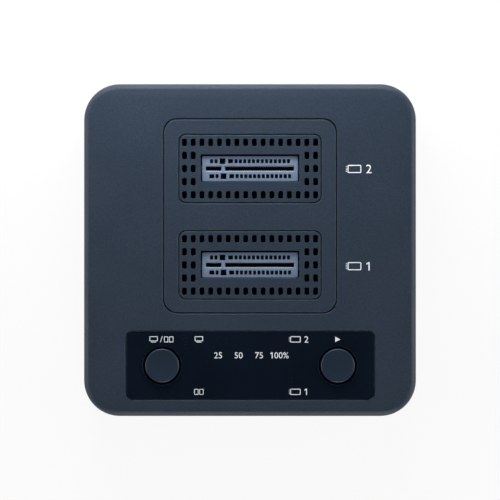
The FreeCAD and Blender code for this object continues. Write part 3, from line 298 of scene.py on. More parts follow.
def moulded(name, tone, roughness, grain=2600.0, bump=0.25, depth=0.00006, mottle=0.015, specular=0.5,
            edge_tone=1.5, edge_width=0.0004, dust=0.25, spread=0.02, speck=0.10, painted_shade_below=None):
    """Moulded plastic or rubber: grained, slightly mottled, a little dusty, and paler at the edges, which is
    handling wear and, at a high edge tone, a painted highlight.

    Where a height is given, a painted shade darkens the colour towards a near-black tone over a fifth of a
    millimetre below it, standing in for the shade inside deep pockets.
    """
    material, tree, shader = blank_material(name)
    grit = use(tree, GRAIN, (-900, 200), Grain_Scale=grain)
    edge = use(tree, EDGES, (-900, -50), Width=edge_width)
    settled = use(tree, DUST, (-900, -300))
    ground = blend_colours(
        tree, (-600, 300), grit.outputs["Mottle"], shade(tone, 1 - mottle), shade(tone, 1 + mottle)
    )
    dark, light = (1 - speck,) * 3 + (1.0,), (1 + speck,) * 3 + (1.0,)
    speckle = blend_colours(tree, (-600, 100), grit.outputs["Speck"], dark, light)
    grained = blend_colours(tree, (-400, 250), 1.0, ground, speckle, "MULTIPLY")
    # Paler edges: handling wear, and at a high edge tone a painted highlight along the rims.
    paler_edges = blend_colours(tree, (-200, 200), edge.outputs["Edge"], grained, shade(tone, edge_tone))
    film = combine(tree, (-400, -300), "MULTIPLY", settled.outputs["Dust"], dust)
    dusty_and_shaded = blend_colours(tree, (50, 150), film, paler_edges, DUST_TONE)
    # Painted shade: below the given height the colour is mixed towards the near-black pocket tone.
    if painted_shade_below is not None:
        place = object_place(tree, (-600, 600))
        height = wire(tree, "ShaderNodeSeparateXYZ", (-400, 600), {"Vector": place}).outputs["Z"]
        painted_shade_share = ramp(tree, (-200, 600), height, 1.0, 0.0, painted_shade_below - 0.2 * MM, painted_shade_below)
        dusty_and_shaded = blend_colours(tree, (250, 400), painted_shade_share, dusty_and_shaded, PAINTED_POCKET_SHADE)
    tree.links.new(dusty_and_shaded, shader.inputs["Base Color"])
    rough = ramp(tree, (-200, -100), grit.outputs["Mottle"], roughness - spread, roughness + spread, 0.0, 1.0)
    polished = blend_values(tree, (50, -100), edge.outputs["Edge"], rough, max(0.05, roughness - 0.15))
    tree.links.new(polished, shader.inputs["Roughness"])
    add_relief(tree, shader, bump, depth, grit.outputs["Height"])
    shader.inputs["Specular IOR Level"].default_value = specular
    return material


def metal(name, tone, roughness, tarnish_tone, stretch):
    """Drawn or plated metal: fine streaks in roughness and relief, with a little tarnish."""
    material, tree, shader = blank_material(name)
    drawn = use(tree, DRAWN, (-900, 100), Stretch=stretch)
    edge = use(tree, EDGES, (-900, -150), Width=0.0002)
    tarnished = blend_colours(tree, (-500, 200), drawn.outputs["Tarnish"], tone, tarnish_tone)
    paler_edges = blend_colours(tree, (-250, 200), edge.outputs["Edge"], tarnished, shade(tone, 1.15))
    tree.links.new(paler_edges, shader.inputs["Base Color"])
    shader.inputs["Metallic"].default_value = 1.0
    rough = ramp(tree, (-500, -100), drawn.outputs["Streak"], roughness - 0.06, roughness + 0.1, 0.3, 0.7)
    tree.links.new(rough, shader.inputs["Roughness"])
    add_relief(tree, shader, 0.15, 0.00002, drawn.outputs["Streak"])
    return material


def laminate(name, tone, trace_tone):
    """Circuit board: solder mask over fine tracks laid out on a square grid."""
    material, tree, shader = blank_material(name)
    place = object_place(tree, (-1100, 0))
    tracks = wire(
        tree, "ShaderNodeTexBrick", (-800, 100),
        {"Vector": place, "Scale": 260.0, "Mortar Size": 0.06, "Color1": (0, 0, 0, 1), "Color2": (0, 0, 0, 1),
         "Mortar": (1, 1, 1, 1)},
    ).outputs["Fac"]
    patch = noise(tree, (-800, -200), place, 90.0)
    shown = ramp(tree, (-550, -200), patch, 0.0, 1.0, 0.42, 0.5)
    raised = combine(tree, (-350, 0), "MULTIPLY", tracks, shown)
    mask = blend_colours(tree, (-100, 100), raised, tone, trace_tone)
    tree.links.new(mask, shader.inputs["Base Color"])
    tree.links.new(ramp(tree, (-100, -100), patch, 0.3, 0.42, 0.3, 0.7), shader.inputs["Roughness"])
    add_relief(tree, shader, 0.3, 0.00003, raised)
    return material


BODY_TONE = (41, 53, 68)
PORT_TONE = (22, 23, 25)
SOCKET_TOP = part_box("rear_socket_housing")[1].z
PLASTICS = {
    "shell_plastic": (BODY_TONE, 0.52, {"dust": 0.3, "speck": 0.18}),
    "cover_plastic": ((38, 49, 63), 0.55, {"dust": 0.1}),
    "plate_plastic": (BODY_TONE, 0.54, {"dust": 0.3, "speck": 0.18}),
    "grille_plastic": ((38, 51, 66), 0.56, {"grain": 3200.0, "dust": 0.3, "speck": 0.18}),
    # The panel's high edge tone paints a pale highlight along its rim and the edges of its holes.
    "panel_gloss": ((13, 22, 34), 0.09, {
        "grain": 120.0, "bump": 0.03, "depth": 0.00002, "mottle": 0.1, "edge_tone": 7.0, "edge_width": 0.0003,
        "dust": 0.5, "spread": 0.025, "speck": 0.0,
    }),
    "foot_rubber": ((24, 24, 26), 0.82, {"grain": 1500.0, "bump": 0.5, "specular": 0.3, "dust": 0.6}),
    # The button's edge tone is partly handling wear and partly a painted rim highlight.
    "button_plastic": ((34, 46, 62), 0.38, {"grain": 3400.0, "bump": 0.2, "edge_tone": 1.9}),
    "plunger_plastic": ((30, 30, 32), 0.5, {}),
    "switch_plastic": ((26, 26, 28), 0.6, {}),
    "lamp_resin": ((226, 222, 200), 0.25, {"bump": 0.05, "dust": 0.0}),
    "guide_clear": ((150, 156, 164), 0.35, {"bump": 0.1, "dust": 0.0}),
    "socket_plastic": ((114, 130, 154), 0.34, {
        "grain": 4200.0, "bump": 0.1, "mottle": 0.02, "edge_tone": 1.3, "edge_width": 0.00015, "dust": 0.2,
        # Painted shade: the socket's colour darkens from 0.3 mm below its top, in its pockets, slot and outer
        # walls.
        "painted_shade_below": SOCKET_TOP - 0.3 * MM,
    }),
    "chip_resin": ((28, 28, 30), 0.6, {"grain": 3800.0}),
    "ferrite": ((52, 52, 54), 0.7, {"grain": 5200.0, "bump": 0.4}),
    "reservoir_resin": ((186, 140, 54), 0.5, {}),
    "capacitor_ceramic": ((150, 118, 84), 0.45, {}),
    "port_plastic": (PORT_TONE, 0.48, {"grain": 3800.0, "bump": 0.2, "edge_tone": 1.7}),
    "rocker_plastic": (PORT_TONE, 0.36, {"grain": 3000.0, "bump": 0.15, "edge_tone": 1.8}),
    "mark_ink": ((240, 243, 248), 0.5, {
        "grain": 5000.0, "bump": 0.1, "mottle": 0.03, "dust": 0.0, "speck": 0.03,
    }),
}
ALONG_X, ALONG_Z = (400.0, 9000.0, 9000.0), (9000.0, 9000.0, 500.0)
METALS = {
    "switch_steel": ((205, 206, 208), 0.3, (150, 146, 138), ALONG_X),
    "tinned_metal": ((214, 214, 212), 0.32, (160, 158, 150), ALONG_X),
    "contact_gold": ((214, 178, 110), 0.28, (150, 118, 66), ALONG_Z),
    "crystal_steel": ((200, 198, 190), 0.25, (150, 140, 120), ALONG_X),
    "port_steel": ((196, 198, 200), 0.26, (140, 138, 132), ALONG_X),
}
FINISHES = {"board_laminate": laminate("board_laminate", colour(14, 22, 26), colour(26, 40, 44))}
for finish, (tone, roughness, settings) in PLASTICS.items():
    FINISHES[finish] = moulded(finish, colour(*tone), roughness, **settings)
for finish, (tone, roughness, tarnish_tone, stretch) in METALS.items():
    FINISHES[finish] = metal(finish, colour(*tone), roughness, colour(*tarnish_tone), stretch)


# ---------------------------------------------------------------- surfaces


# The narrow flat ring kept round each eased edge, which keeps the shading of the face beyond it even.
RING = 0.04 * MM
POST_LIP = 0.1 * MM
PRINT = 0.02 * MM
SMALLEST_RADIUS = 0.005 * MM
UP, DOWN = 1, -1


def level(height):
    """Sets flat (x, y) points at one height."""
    return lambda flat: np.column_stack([flat, np.full(len(flat), height)])


def upright(depth):
    """Stands flat (x, z) points up in the plane y = depth."""
    return lambda flat: np.column_stack([flat[:, 0], np.full(len(flat), depth), flat[:, 1]])


def rounded(width, depth, radius, centre=(0.0, 0.0), steps=8):
    """A rounded rectangle as a function of how far it is grown.

    Each corner runs through its centre + radius * (cos a, sin a).
    """
    sweep = np.linspace(0, math.pi / 2, steps + 1)
    angle = np.arange(4)[:, None] * (math.pi / 2) + sweep
    right, far = np.array([1, -1, -1, 1])[:, None], np.array([1, 1, -1, -1])[:, None]

    def grown(offset=0.0):
        reach = max(radius + offset, SMALLEST_RADIUS)
        across = right * (width / 2 + offset - reach) + reach * np.cos(angle)
        along = far * (depth / 2 + offset - reach) + reach * np.sin(angle)
        return np.column_stack([across.ravel() + centre[0], along.ravel() + centre[1]])

    return grown


def circular(radius, centre, steps=72):
    """A circle as a function of how far it is grown: centre + (radius + offset) * (cos a, sin a)."""
    angle = np.linspace(0, 2 * math.pi, steps, endpoint=False)

    def grown(offset=0.0):
        return (radius + offset) * np.column_stack([np.cos(angle), np.sin(angle)]) + np.array(centre)

    return grown


def eased(shape, height, lip, grow, fall, place=level, steps=5):
    """Loops of a rounded edge from a face into a wall.

    At angle a the shape is grown by grow * lip * (1 - sin a) and has gone lip * (1 - cos a) along the wall.
    """
    angle = np.linspace(0, math.pi / 2, steps)
    loops = [place(height)(shape(grow * (lip + RING)))]
    for turn in angle:
        outline = shape(grow * lip * (1 - math.sin(turn)))
        loops.append(place(height + fall * lip * (1 - math.cos(turn)))(outline))
    return loops


def inside_loop(spots, loop):
    """Which spots lie in a closed loop: a ray along +X from them crosses its sides an odd number of times."""
    start, end = loop, np.roll(loop, -1, axis=0)
    x, y = spots[:, 0][:, None], spots[:, 1][:, None]
    spans = (start[:, 1] > y) != (end[:, 1] > y)
    rise = np.where(end[:, 1] == start[:, 1], 1.0, end[:, 1] - start[:, 1])
    crossing = start[:, 0] + (y - start[:, 1]) * (end[:, 0] - start[:, 0]) / rise
    return (spans & (x < crossing)).sum(axis=1) % 2 == 1


class Skin:
    """Collects the points and faces of one piece, which are welded into a mesh at the end."""

    def __init__(self):
        self.points = []
        self.faces = []
        self.total = 0

    def add(self, points, faces):
        """Take an array of points and faces that index into it."""
        self.points.append(np.asarray(points, float))
        self.faces += (np.asarray(faces) + self.total).tolist()
        self.total += len(points)

    def wall(self, loops, gap=None):
        """Join loops of equal length with quads (i, j) between loops i and i + 1, leaving out column gap."""
        stack = np.asarray(loops, float)
        rows, count = stack.shape[:2]
        columns = np.array([j for j in range(count) if j != gap])
        row, column = np.meshgrid(np.arange(rows - 1), columns, indexing="ij")
        following = (column + 1) % count
        corners = [row * count + column, row * count + following]
        corners += [(row + 1) * count + following, (row + 1) * count + column]
        self.add(stack.reshape(-1, 3), np.stack(corners, axis=-1).reshape(-1, 4))

    def fill(self, outer, holes, place):
        """Fill a flat outline, less its holes, with Delaunay triangles, and set it in its plane."""
        loops = [np.asarray(outer)] + [np.asarray(hole) for hole in holes]
        edges, start = [], 0
        for loop in loops:
            count = len(loop)
            edges += [(start + i, start + (i + 1) % count) for i in range(count)]
            start += count
        points = np.concatenate(loops) / MM
        found = delaunay_2d_cdt([tuple(point) for point in points], edges, [], 0, 1e-6)
        flat = np.array([tuple(point) for point in found[0]]) * MM
        faces = np.array([list(face) for face in found[2]])
        middles = flat[faces].mean(axis=1)
        kept = inside_loop(middles, loops[0])
        for hole in loops[1:]:
            kept &= ~inside_loop(middles, hole)
        self.add(place(flat), faces[kept])

    def sleeve(self, shape, top, bottom):
        """A straight upright wall between two heights."""
        self.wall([level(top)(shape()), level(bottom)(shape())])

    def slab_side(self, shape, bottom, top, lip):
        """The side of a slab, up to its eased top edge. Gives the outline of the flat top."""
        self.wall([level(bottom)(shape())] + eased(shape, top, lip, -1, DOWN)[::-1])
        return shape(-lip - RING)

    def tile(self, outer, holes, place, thickness):
        """A thin closed tile: two faces, placed by how far they stand off, and the walls between them."""
        for lift in (0.0, thickness):
            self.fill(outer, holes, place(lift))
        for loop in [outer] + holes:
            self.wall([place(0.0)(loop), place(thickness)(loop)])

    def hole(self, shape, top, bottom, lip, place=level):
        """The eased wall of a hole through to the far side. Gives the outlines that both faces leave out."""
        self.wall(eased(shape, top, lip, 1, DOWN, place) + [place(bottom)(shape())])
        return shape(lip + RING), shape()

    def groove(self, shape, top, bottom, lip, shelf, depth):
        """A hole whose wall steps in by a shelf at a depth. Gives the outline that the face leaves out."""
        rim = eased(shape, top, lip, 1, DOWN)
        inner = shape(-shelf)
        self.wall(rim + [level(top - depth)(shape()), level(top - depth)(inner), level(bottom)(inner)])
        return shape(lip + RING)

    def peg(self, shape, bottom, top):
        """An upright post with an eased foot, closed at both ends."""
        foot = eased(shape, bottom, POST_LIP, -1, UP)
        self.wall(foot + [level(top)(shape())])
        self.fill(shape(-POST_LIP - RING), [], level(bottom))
        self.fill(shape(), [], level(top))

    def mesh(self, name):
        """Weld the seams, point every face outwards, and keep edges sharper than the soft angle crisp."""
        data = bpy.data.meshes.new(name)
        data.from_pydata(np.concatenate(self.points).tolist(), [], self.faces)
        work = bmesh.new()
        work.from_mesh(data)
        bmesh.ops.remove_doubles(work, verts=work.verts, dist=WELD)
        bmesh.ops.dissolve_degenerate(work, edges=work.edges, dist=WELD / 2)
        bmesh.ops.recalc_face_normals(work, faces=work.faces)
        work.to_mesh(data)
        work.free()
        data.shade_smooth()
        data.set_sharp_from_angle(angle=SOFT_EDGE_ANGLE)
        return data


def place_piece(name, data, body, finish, stands_for=()):
    """Make a mesh a visible piece: on its body, in its finish, in the place of the solids it stands for."""
    piece = bpy.data.objects.new(name, data)
    bpy.context.scene.collection.objects.link(piece)
    data.materials.clear()
    data.materials.append(FINISHES[finish])
    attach(piece, body)
    if stands_for:
        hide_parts(*stands_for)
    return piece


def dress(name, skin, node):
    """Put a finished skin in the place of one solid."""
    place_piece(name, skin.mesh(name), BODY_OF[node], SLOT_OF[node], (node,))


def softened(node, width):
    """A welded copy of a solid, its flat faces joined and its edges rounded over, in that solid's place."""
    work = bmesh.new()
    work.from_mesh(frame["nodes"][node].data)
    bmesh.ops.remove_doubles(work, verts=work.verts, dist=WELD)
    bmesh.ops.dissolve_limit(work, angle_limit=FLAT_ANGLE, verts=work.verts, edges=work.edges)
    data = bpy.data.meshes.new(node + "_soft")
    work.to_mesh(data)
    work.free()
    data.shade_smooth()
    data.set_sharp_from_angle(angle=SOFT_EDGE_ANGLE)
    piece = place_piece(node + "_soft", data, BODY_OF[node], SLOT_OF[node], (node,))
    rounding = piece.modifiers.new("rounded_edges", "BEVEL")
    rounding.width = width
    rounding.segments = 3
    rounding.limit_method = "ANGLE"
    rounding.angle_limit = ROUNDED_ANGLE
    rounding.harden_normals = True


def turned(profile, centre, steps=96):
    """A surface of revolution: profile point (r, z) goes to centre + (r cos a, r sin a, z) at angle a."""
    angle = np.linspace(0, 2 * math.pi, steps, endpoint=False)
    radius, height = np.asarray(profile, float).T
    x = centre[0] + radius[:, None] * np.cos(angle)
    y = centre[1] + radius[:, None] * np.sin(angle)
    z = np.repeat(height[:, None], steps, axis=1)
    skin = Skin()
    skin.wall(np.stack([x, y, z], axis=-1))
    return skin


# ---------------------------------------------------------------- enclosure


def node_size(node):
    """A solid's centre and size, across and along."""
    low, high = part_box(node)
    return ((low.x + high.x) / 2, (low.y + high.y) / 2), high.x - low.x, high.y - low.y


SHELL_LOW, SHELL_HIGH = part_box("top_shell")
TOP, SEAM = SHELL_HIGH.z, SHELL_LOW.z
REAR = SHELL_HIGH.y
TOP_WALL = 2.2 * MM
CEILING = TOP - TOP_WALL
PLATE_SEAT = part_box("bay_plate")[0].z
PANEL_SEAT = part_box("control_panel")[0].z
WALL = 2.0 * MM
CORNER = 8.2 * MM
FILLET = 1.5 * MM
SIDE_REACH, SIDE_DROP = 8.0 * MM, 0.28 * MM
END_REACH, END_DROP = 3.3 * MM, 0.1 * MM
WELL_RADIUS = 4.4 * MM
# The posts under the ceiling: side, corner radius, distance each way across, places along, and foot.
ROOT = 0.1 * MM
SCREW_POSTS = (6 * MM, 0.6 * MM, 31.5 * MM, (-31.5 * MM, 31.5 * MM), SEAM + ROOT)
CLAMP_POSTS = (4 * MM, 0.4 * MM, 31 * MM, (-12 * MM, 19 * MM), 22.6 * MM)


def seen_from_behind(node):
    """A solid's centre (x, z), width and height."""
    low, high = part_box(node)
    return ((low.x + high.x) / 2, (low.z + high.z) / 2), high.x - low.x, high.z - low.z


def port_shapes():
    """The outlines (x, z) of the three rear openings. The last two are larger than their ports by a gap."""
    inlet_radius, gap = 4.2 * MM, 0.4 * MM
    switch_width, switch_height = 10.8 * MM, 6.6 * MM
    inlet = seen_from_behind("dc_jack_pin")[0]
    data, data_width, data_height = seen_from_behind("usb_c_shell")
    switch = seen_from_behind("power_switch_housing")[0]
    return [
        circular(inlet_radius, inlet),
        rounded(data_width + gap, data_height + gap, 1.48 * MM, data),
        rounded(switch_width + gap, switch_height + gap, 0.4 * MM, switch),
    ]


def button_wells():
    """The round holes of the two push buttons."""
    return [circular(WELL_RADIUS, node_size(button)[0]) for button in ("mode_button", "start_button")]


def lamp_windows():
    """The square windows over the lamps: one in each of six columns, but two in the first and the last."""
    low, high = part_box("indicator_leds")
    lamp_length, lamp_width, side = 1.6 * MM, 0.8 * MM, 2.1 * MM
    middle_y = (low.y + high.y) / 2
    spread = (high.y - low.y - lamp_width) / 2
    columns = np.linspace(low.x + lamp_length / 2, high.x - lamp_length / 2, 6)
    spots = [(x, middle_y) for x in columns[1:-1]]
    spots += [(x, middle_y + way * spread) for x in columns[[0, -1]] for way in (-1, 1)]
    return [rounded(side, side, 0.05 * MM, spot, 1) for spot in spots]


def crown_drop(flat):
    """How far the top falls away: drop * share squared, added over the sides and the ends.

    The share runs from 0 at a reach inside the rim to 1 at its rounded edge. The sides fall further.
    """
    half = (SHELL_HIGH.x - SHELL_LOW.x) / 2
    inset = half - np.abs(flat)
    reach = np.array([SIDE_REACH, END_REACH])
    share = np.clip((reach - inset) / (reach - FILLET), 0, 1)
    return share ** 2 @ np.array([SIDE_DROP, END_DROP])


def shell_profile(outside, inside):
    """Loops round the rim, over the rounded edge, and across the crown to its flat middle."""
    rim = eased(outside, SEAM, 0.3 * MM, -1, UP)
    turns = np.linspace(0, math.radians(84), 15)
    drawn = FILLET * (1 - math.cos(turns[-1]))
    sink = crown_drop(outside(-drawn))
    edge = []
    for turn in turns:
        height = TOP - FILLET * (1 - math.sin(turn))
        edge.append(np.column_stack([outside(-FILLET * (1 - math.cos(turn))), height - sink]))
    width = SHELL_HIGH.x - SHELL_LOW.x
    last = FILLET * (1 - math.sin(turns[-1]))
    crown = []
    for share in np.linspace(0, 1, 13)[1:]:
        side = drawn + share * (SIDE_REACH - drawn)
        end = drawn + share * (END_REACH - drawn)
        outline = rounded(width - 2 * side, width - 2 * end, CORNER - end, steps=16)()
        crown.append(np.column_stack([outline, TOP - last * (1 - share) ** 2 - crown_drop(outline)]))
    return [level(SEAM)(inside())] + rim, edge, crown


def make_top_shell():
    """The deep cover: rounded, slightly crowned, open below, with its bay seat, recess, posts and ports."""
    skin = Skin()
    width = SHELL_HIGH.x - SHELL_LOW.x
    outside = rounded(width, width, CORNER, steps=16)
    inside = rounded(width - 2 * WALL, width - 2 * WALL, CORNER - WALL, steps=16)
    foot, edge, crown = shell_profile(outside, inside)
    rear_column = 16
    skin.wall(foot)
    skin.wall([foot[-1], edge[0]], gap=rear_column)
    skin.wall(edge + crown)
    skin.wall([level(SEAM)(inside()), level(CEILING)(inside())], gap=rear_column)
    cut_rear_ports(skin, foot[-1][0, 2], edge[0][rear_column, 2])

    plate_centre, plate_width, plate_depth = node_size("bay_plate")
    seat_gap, ledge_inset, frame_outset, frame_drop = 0.6 * MM, 2.0 * MM, 3.8 * MM, 1.4 * MM
    shelf, shelf_depth = 0.24 * MM, 0.75 * MM
    seat = rounded(plate_width + seat_gap, plate_depth + seat_gap, 3.3 * MM, plate_centre)
    ledge = rounded(plate_width - ledge_inset, plate_depth - ledge_inset, 1.2 * MM, plate_centre)
    frame_ring = rounded(plate_width + frame_outset, plate_depth + frame_outset, 1.0 * MM, plate_centre)
    frame_foot = PLATE_SEAT - frame_drop
    seat_mouth = skin.groove(seat, TOP, PLATE_SEAT, 0.2 * MM, shelf, shelf_depth)
    skin.fill(seat(-shelf), [ledge()], level(PLATE_SEAT))
    skin.sleeve(ledge, PLATE_SEAT, frame_foot)
    skin.fill(frame_ring(), [ledge()], level(frame_foot))
    skin.sleeve(frame_ring, frame_foot, CEILING)

    panel_centre, panel_width, panel_depth = node_size("control_panel")
    recess_gap = 0.2 * MM
    recess = rounded(panel_width + recess_gap, panel_depth + recess_gap, 1.8 * MM, panel_centre)
    recess_mouth, recess_floor = skin.hole(recess, TOP, PANEL_SEAT, 0.14 * MM)
    wells = button_wells() + lamp_windows()
    for well in wells:
        skin.sleeve(well, PANEL_SEAT, CEILING)
    skin.fill(recess_floor, [well() for well in wells], level(PANEL_SEAT))
    skin.fill(crown[-1][:, :2], [seat_mouth, recess_mouth], level(TOP))
    skin.fill(inside(), [frame_ring()] + [well() for well in wells], level(CEILING))
    for size, corner, across, along, foot in (SCREW_POSTS, CLAMP_POSTS):
        for x in (-across, across):
            for y in along:
                skin.peg(rounded(size, size, corner, (x, y), 3), foot, CEILING + ROOT)
    dress("top_shell_skin", skin, "top_shell")


def cut_rear_ports(skin, low, high):
    """The flat of the rear wall, outside and inside, with its three eased openings."""
    reach, inner_reach = REAR - CORNER, REAR - WALL - (CORNER - WALL)
    outer = np.array([(-reach, low), (reach, low), (reach, high), (-reach, high)])
    inner = [(-inner_reach, SEAM), (inner_reach, SEAM), (inner_reach, CEILING), (-inner_reach, CEILING)]
    mouths, backs = [], []
    for shape in port_shapes():
        mouth, back = skin.hole(shape, REAR, REAR - WALL, 0.25 * MM, upright)
        mouths.append(mouth)
        backs.append(back)
    skin.fill(outer, mouths, upright(REAR))
    skin.fill(inner, backs, upright(REAR - WALL))


def make_bay_plate():
    """The drop-in plate: a rounded slab with an eased rim and a stepped opening for each grille."""
    skin = Skin()
    low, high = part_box("bay_plate")
    centre, width, depth = node_size("bay_plate")
    outside = rounded(width, depth, 3.0 * MM, centre)
    top_face = skin.slab_side(outside, low.z, high.z, 0.18 * MM)
    seat_gap, ledge_inset, shelf, shelf_depth = 0.5 * MM, 0.6 * MM, 0.2 * MM, 0.7 * MM
    seat_mouths, windows = [], []
    for grille in ("rear_grille", "front_grille"):
        grille_centre, grille_width, grille_depth = node_size(grille)
        ledge_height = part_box(grille)[0].z
        seat = rounded(grille_width + seat_gap, grille_depth + seat_gap, 1.75 * MM, grille_centre)
        window = rounded(grille_width - ledge_inset, grille_depth - ledge_inset, 1.0 * MM, grille_centre)
        mouth = skin.groove(seat, high.z, ledge_height, 0.18 * MM, shelf, shelf_depth)
        skin.fill(seat(-shelf), [window()], level(ledge_height))
        skin.sleeve(window, ledge_height, low.z)
        seat_mouths.append(mouth)
        windows.append(window())
    skin.fill(top_face, seat_mouths, level(high.z))
    skin.fill(outside(), windows, level(low.z))
    dress("bay_plate_skin", skin, "bay_plate")


def grille_openings(centre):
    """A grille's air holes, two full rows and three short ones, and its socket's window, with edge radii."""
    across, along = 2.0 * MM, 3.0 * MM
    hole_width, hole_depth = 1.14 * MM, 1.74 * MM
    window_width, window_depth, window_shift = 22.6 * MM, 6.24 * MM, 0.16 * MM
    openings = []
    for row in range(5):
        for column in range(16):
            if row in (0, 4) or column in (0, 1, 14, 15):
                spot = (centre[0] + (column - 7.5) * across, centre[1] + (row - 2) * along)
                openings.append((rounded(hole_width, hole_depth, 0.42 * MM, spot, 4), 0.07 * MM))
    window = (centre[0], centre[1] + window_shift)
    openings.append((rounded(window_width, window_depth, 0.3 * MM, window, 4), 0.1 * MM))
    return openings


def perforated(label, node, corner, rim, holes):
    """A rounded slab with an eased rim and eased holes, each hole a shape and its edge radius."""
    skin = Skin()
    low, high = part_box(node)
    centre, width, depth = node_size(node)
    outside = rounded(width, depth, corner, centre, 10)
    top_face = skin.slab_side(outside, low.z, high.z, rim)
    tops, feet = [], []
    for shape, lip in holes:
        top, foot = skin.hole(shape, high.z, low.z, lip)
        tops.append(top)
        feet.append(foot)
    skin.fill(top_face, tops, level(high.z))
    skin.fill(outside(), feet, level(low.z))
    dress(label, skin, node)


def make_grille(label, node):
    """A perforated cover over a socket."""
    perforated(label, node, 1.5 * MM, 0.18 * MM, grille_openings(node_size(node)[0]))


def make_control_panel():
    """The glossy fascia: a thin slab with a polished rim and two round holes."""
    holes = [(well, 0.06 * MM) for well in button_wells()]
    perforated("control_panel_skin", "control_panel", 1.7 * MM, 0.16 * MM, holes)


def make_button(label, node):
    """A push button turned about its axis: stem, flange, side, rim, and a face dished by d(1 - s^2)."""
    low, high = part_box(node)
    centre = node_size(node)[0]
    radius, rim, dish = 3.875 * MM, 0.34 * MM, 0.22 * MM
    side_height, flange_thickness, flange_radius, stem = 3.0 * MM, 1.0 * MM, 4.9 * MM, 1.5 * MM
    flange_top = high.z - side_height
    flange_bottom = flange_top - flange_thickness
    side = [(0.0, low.z), (stem, low.z), (stem, flange_bottom), (flange_radius, flange_bottom)]
    side += [(flange_radius, flange_top), (radius, flange_top)]
    turns = np.linspace(0, math.pi / 2, 8)
    edge = [(radius - rim * (1 - math.cos(a)), high.z - rim * (1 - math.sin(a))) for a in turns]
    shares = np.linspace(1, 0, 14)[1:]
    face = [((radius - rim) * share, high.z - dish * (1 - share * share)) for share in shares]
    dress(label, turned(side + edge + face, centre), node)


# ---------------------------------------------------------------- sockets


SLOT_END, SLOT_WIDTH = 10.075 * MM, 0.96 * MM
KEY_LEFT, KEY_RIGHT = -6.56 * MM, -5.69 * MM
CONTACTS, CONTACT_PITCH = 75, 0.5 * MM
CORE_DEPTH = 1.5 * MM
SLOT_DEPTH = 5.0 * MM


def core_outs():
    """The pockets (x, y, width, depth) by the slot: a run of 13 and four by the key, in front and behind."""
    small, tall, row = 0.7 * MM, 0.95 * MM, 1.72 * MM
    places = []
    for y, shift, first in ((row, 0.0, small), (-row, 0.25 * MM, 1.15 * MM)):
        places += [(-3.2 * MM + shift + step * 2 * CONTACT_PITCH, y, small, tall) for step in range(13)]
        places.append((-8.8 * MM + shift / 4, y, first, tall))
        places.append((-7.78 * MM + shift, y, small, tall))
        places.append((-6.3 * MM + shift, y, 1.3 * MM, 1.3 * MM))
        places.append((-4.45 * MM + shift, y, 1.12 * MM, tall))
    return places


def make_socket(label, node):
    """An edge-card socket: eased block, two keyed slots with bevelled mouths, and blind core-outs."""
    skin = Skin()
    low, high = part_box(node)
    centre, width, depth = node_size(node)
    outside = rounded(width, depth, 0.25 * MM, centre, 4)
    pad_height, pad_width, bevel = 0.3 * MM, 0.9 * MM, 0.26 * MM
    foot, floor = low.z + pad_height, high.z - SLOT_DEPTH
    top_face = skin.slab_side(outside, foot, high.z, 0.07 * MM)
    mouths = []
    for left, right in ((-SLOT_END, KEY_LEFT), (KEY_RIGHT, SLOT_END)):
        spot = (centre[0] + (left + right) / 2, centre[1])
        slot = rounded(right - left, SLOT_WIDTH, 0.05 * MM, spot, 2)
        skin.wall([level(high.z)(slot(bevel)), level(high.z - bevel)(slot()), level(floor)(slot())])
        skin.fill(slot(), [], level(floor))
        mouths.append(slot(bevel))
    for x, y, across, along in core_outs():
        pocket = rounded(across, along, 0.08 * MM, (centre[0] + x, centre[1] + y), 2)
        skin.sleeve(pocket, high.z, high.z - CORE_DEPTH)
        skin.fill(pocket(), [], level(high.z - CORE_DEPTH))
        mouths.append(pocket())
    skin.fill(top_face, mouths, level(high.z))
    skin.fill(outside(), [], level(foot))
    for side in (-1, 1):
        pad_spot = (centre[0] + side * (width - pad_width) / 2, centre[1])
        skin.peg(rounded(pad_width, depth - 0.2 * MM, 0.1 * MM, pad_spot, 2), low.z, foot + ROOT)
    dress(label, skin, node)


def make_contacts(label, node):
    """Thin bowed leaf springs: y = side * (root - bow * sin^2) up to a bend, then flared a little."""
    low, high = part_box(node)
    centre = node_size(node)[0]
    skin = Skin()
    share = np.linspace(0, 1, 9)
    height = low.z + share * (high.z - low.z)
    root, bow, flare, bend = 1.28 * MM, 1.08 * MM, 0.08 * MM, 0.8
    half, thick, key_room = 0.11 * MM, 0.16 * MM, 1.0 * MM
    reach = root - bow * np.sin(math.pi / 2 * np.minimum(share / bend, 1.0)) ** 2
    reach = reach + flare * np.clip((share - bend) / (1 - bend), 0, 1) ** 2
    for number in range(1, CONTACTS + 1):
        middle = ((CONTACTS + 1) // 2 - number) * CONTACT_PITCH / 2
        if abs(middle - (KEY_LEFT + KEY_RIGHT) / 2) < key_room:
            continue
        side = -1 if number % 2 else 1
        x = centre[0] + middle + np.array([-half, half, half, -half])
        y = centre[1] + side * (reach[:, None] + np.array([0, 0, thick, thick]))
        rings = np.stack([np.broadcast_to(x, y.shape), y, np.repeat(height[:, None], 4, axis=1)], axis=-1)
        skin.wall(rings)
        skin.add(rings[0], [[0, 1, 2, 3]])
        skin.add(rings[-1], [[0, 1, 2, 3]])
    dress(label, skin, node)


# ---------------------------------------------------------------- rear details


def make_tongue_contacts():
    """Twelve plated strips on each face of the data port's tongue."""
    low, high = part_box("usb_c_tongue")
    axis = (low.z + high.z) / 2
    pitch, width, length, set_back, half = 0.5 * MM, 0.27 * MM, 3.4 * MM, 2.0 * MM, 0.35 * MM
    skin = Skin()
    for step in range(12):
        strip = rounded(width, length, 0.05 * MM, ((step - 5.5) * pitch, high.y - set_back), 2)
        for side in (-1, 1):
            skin.tile(strip(), [], lambda lift, side=side: level(axis + side * (half + lift)), PRINT)
    place_piece("tongue_contacts", skin.mesh("tongue_contacts"), "dock", "contact_gold")


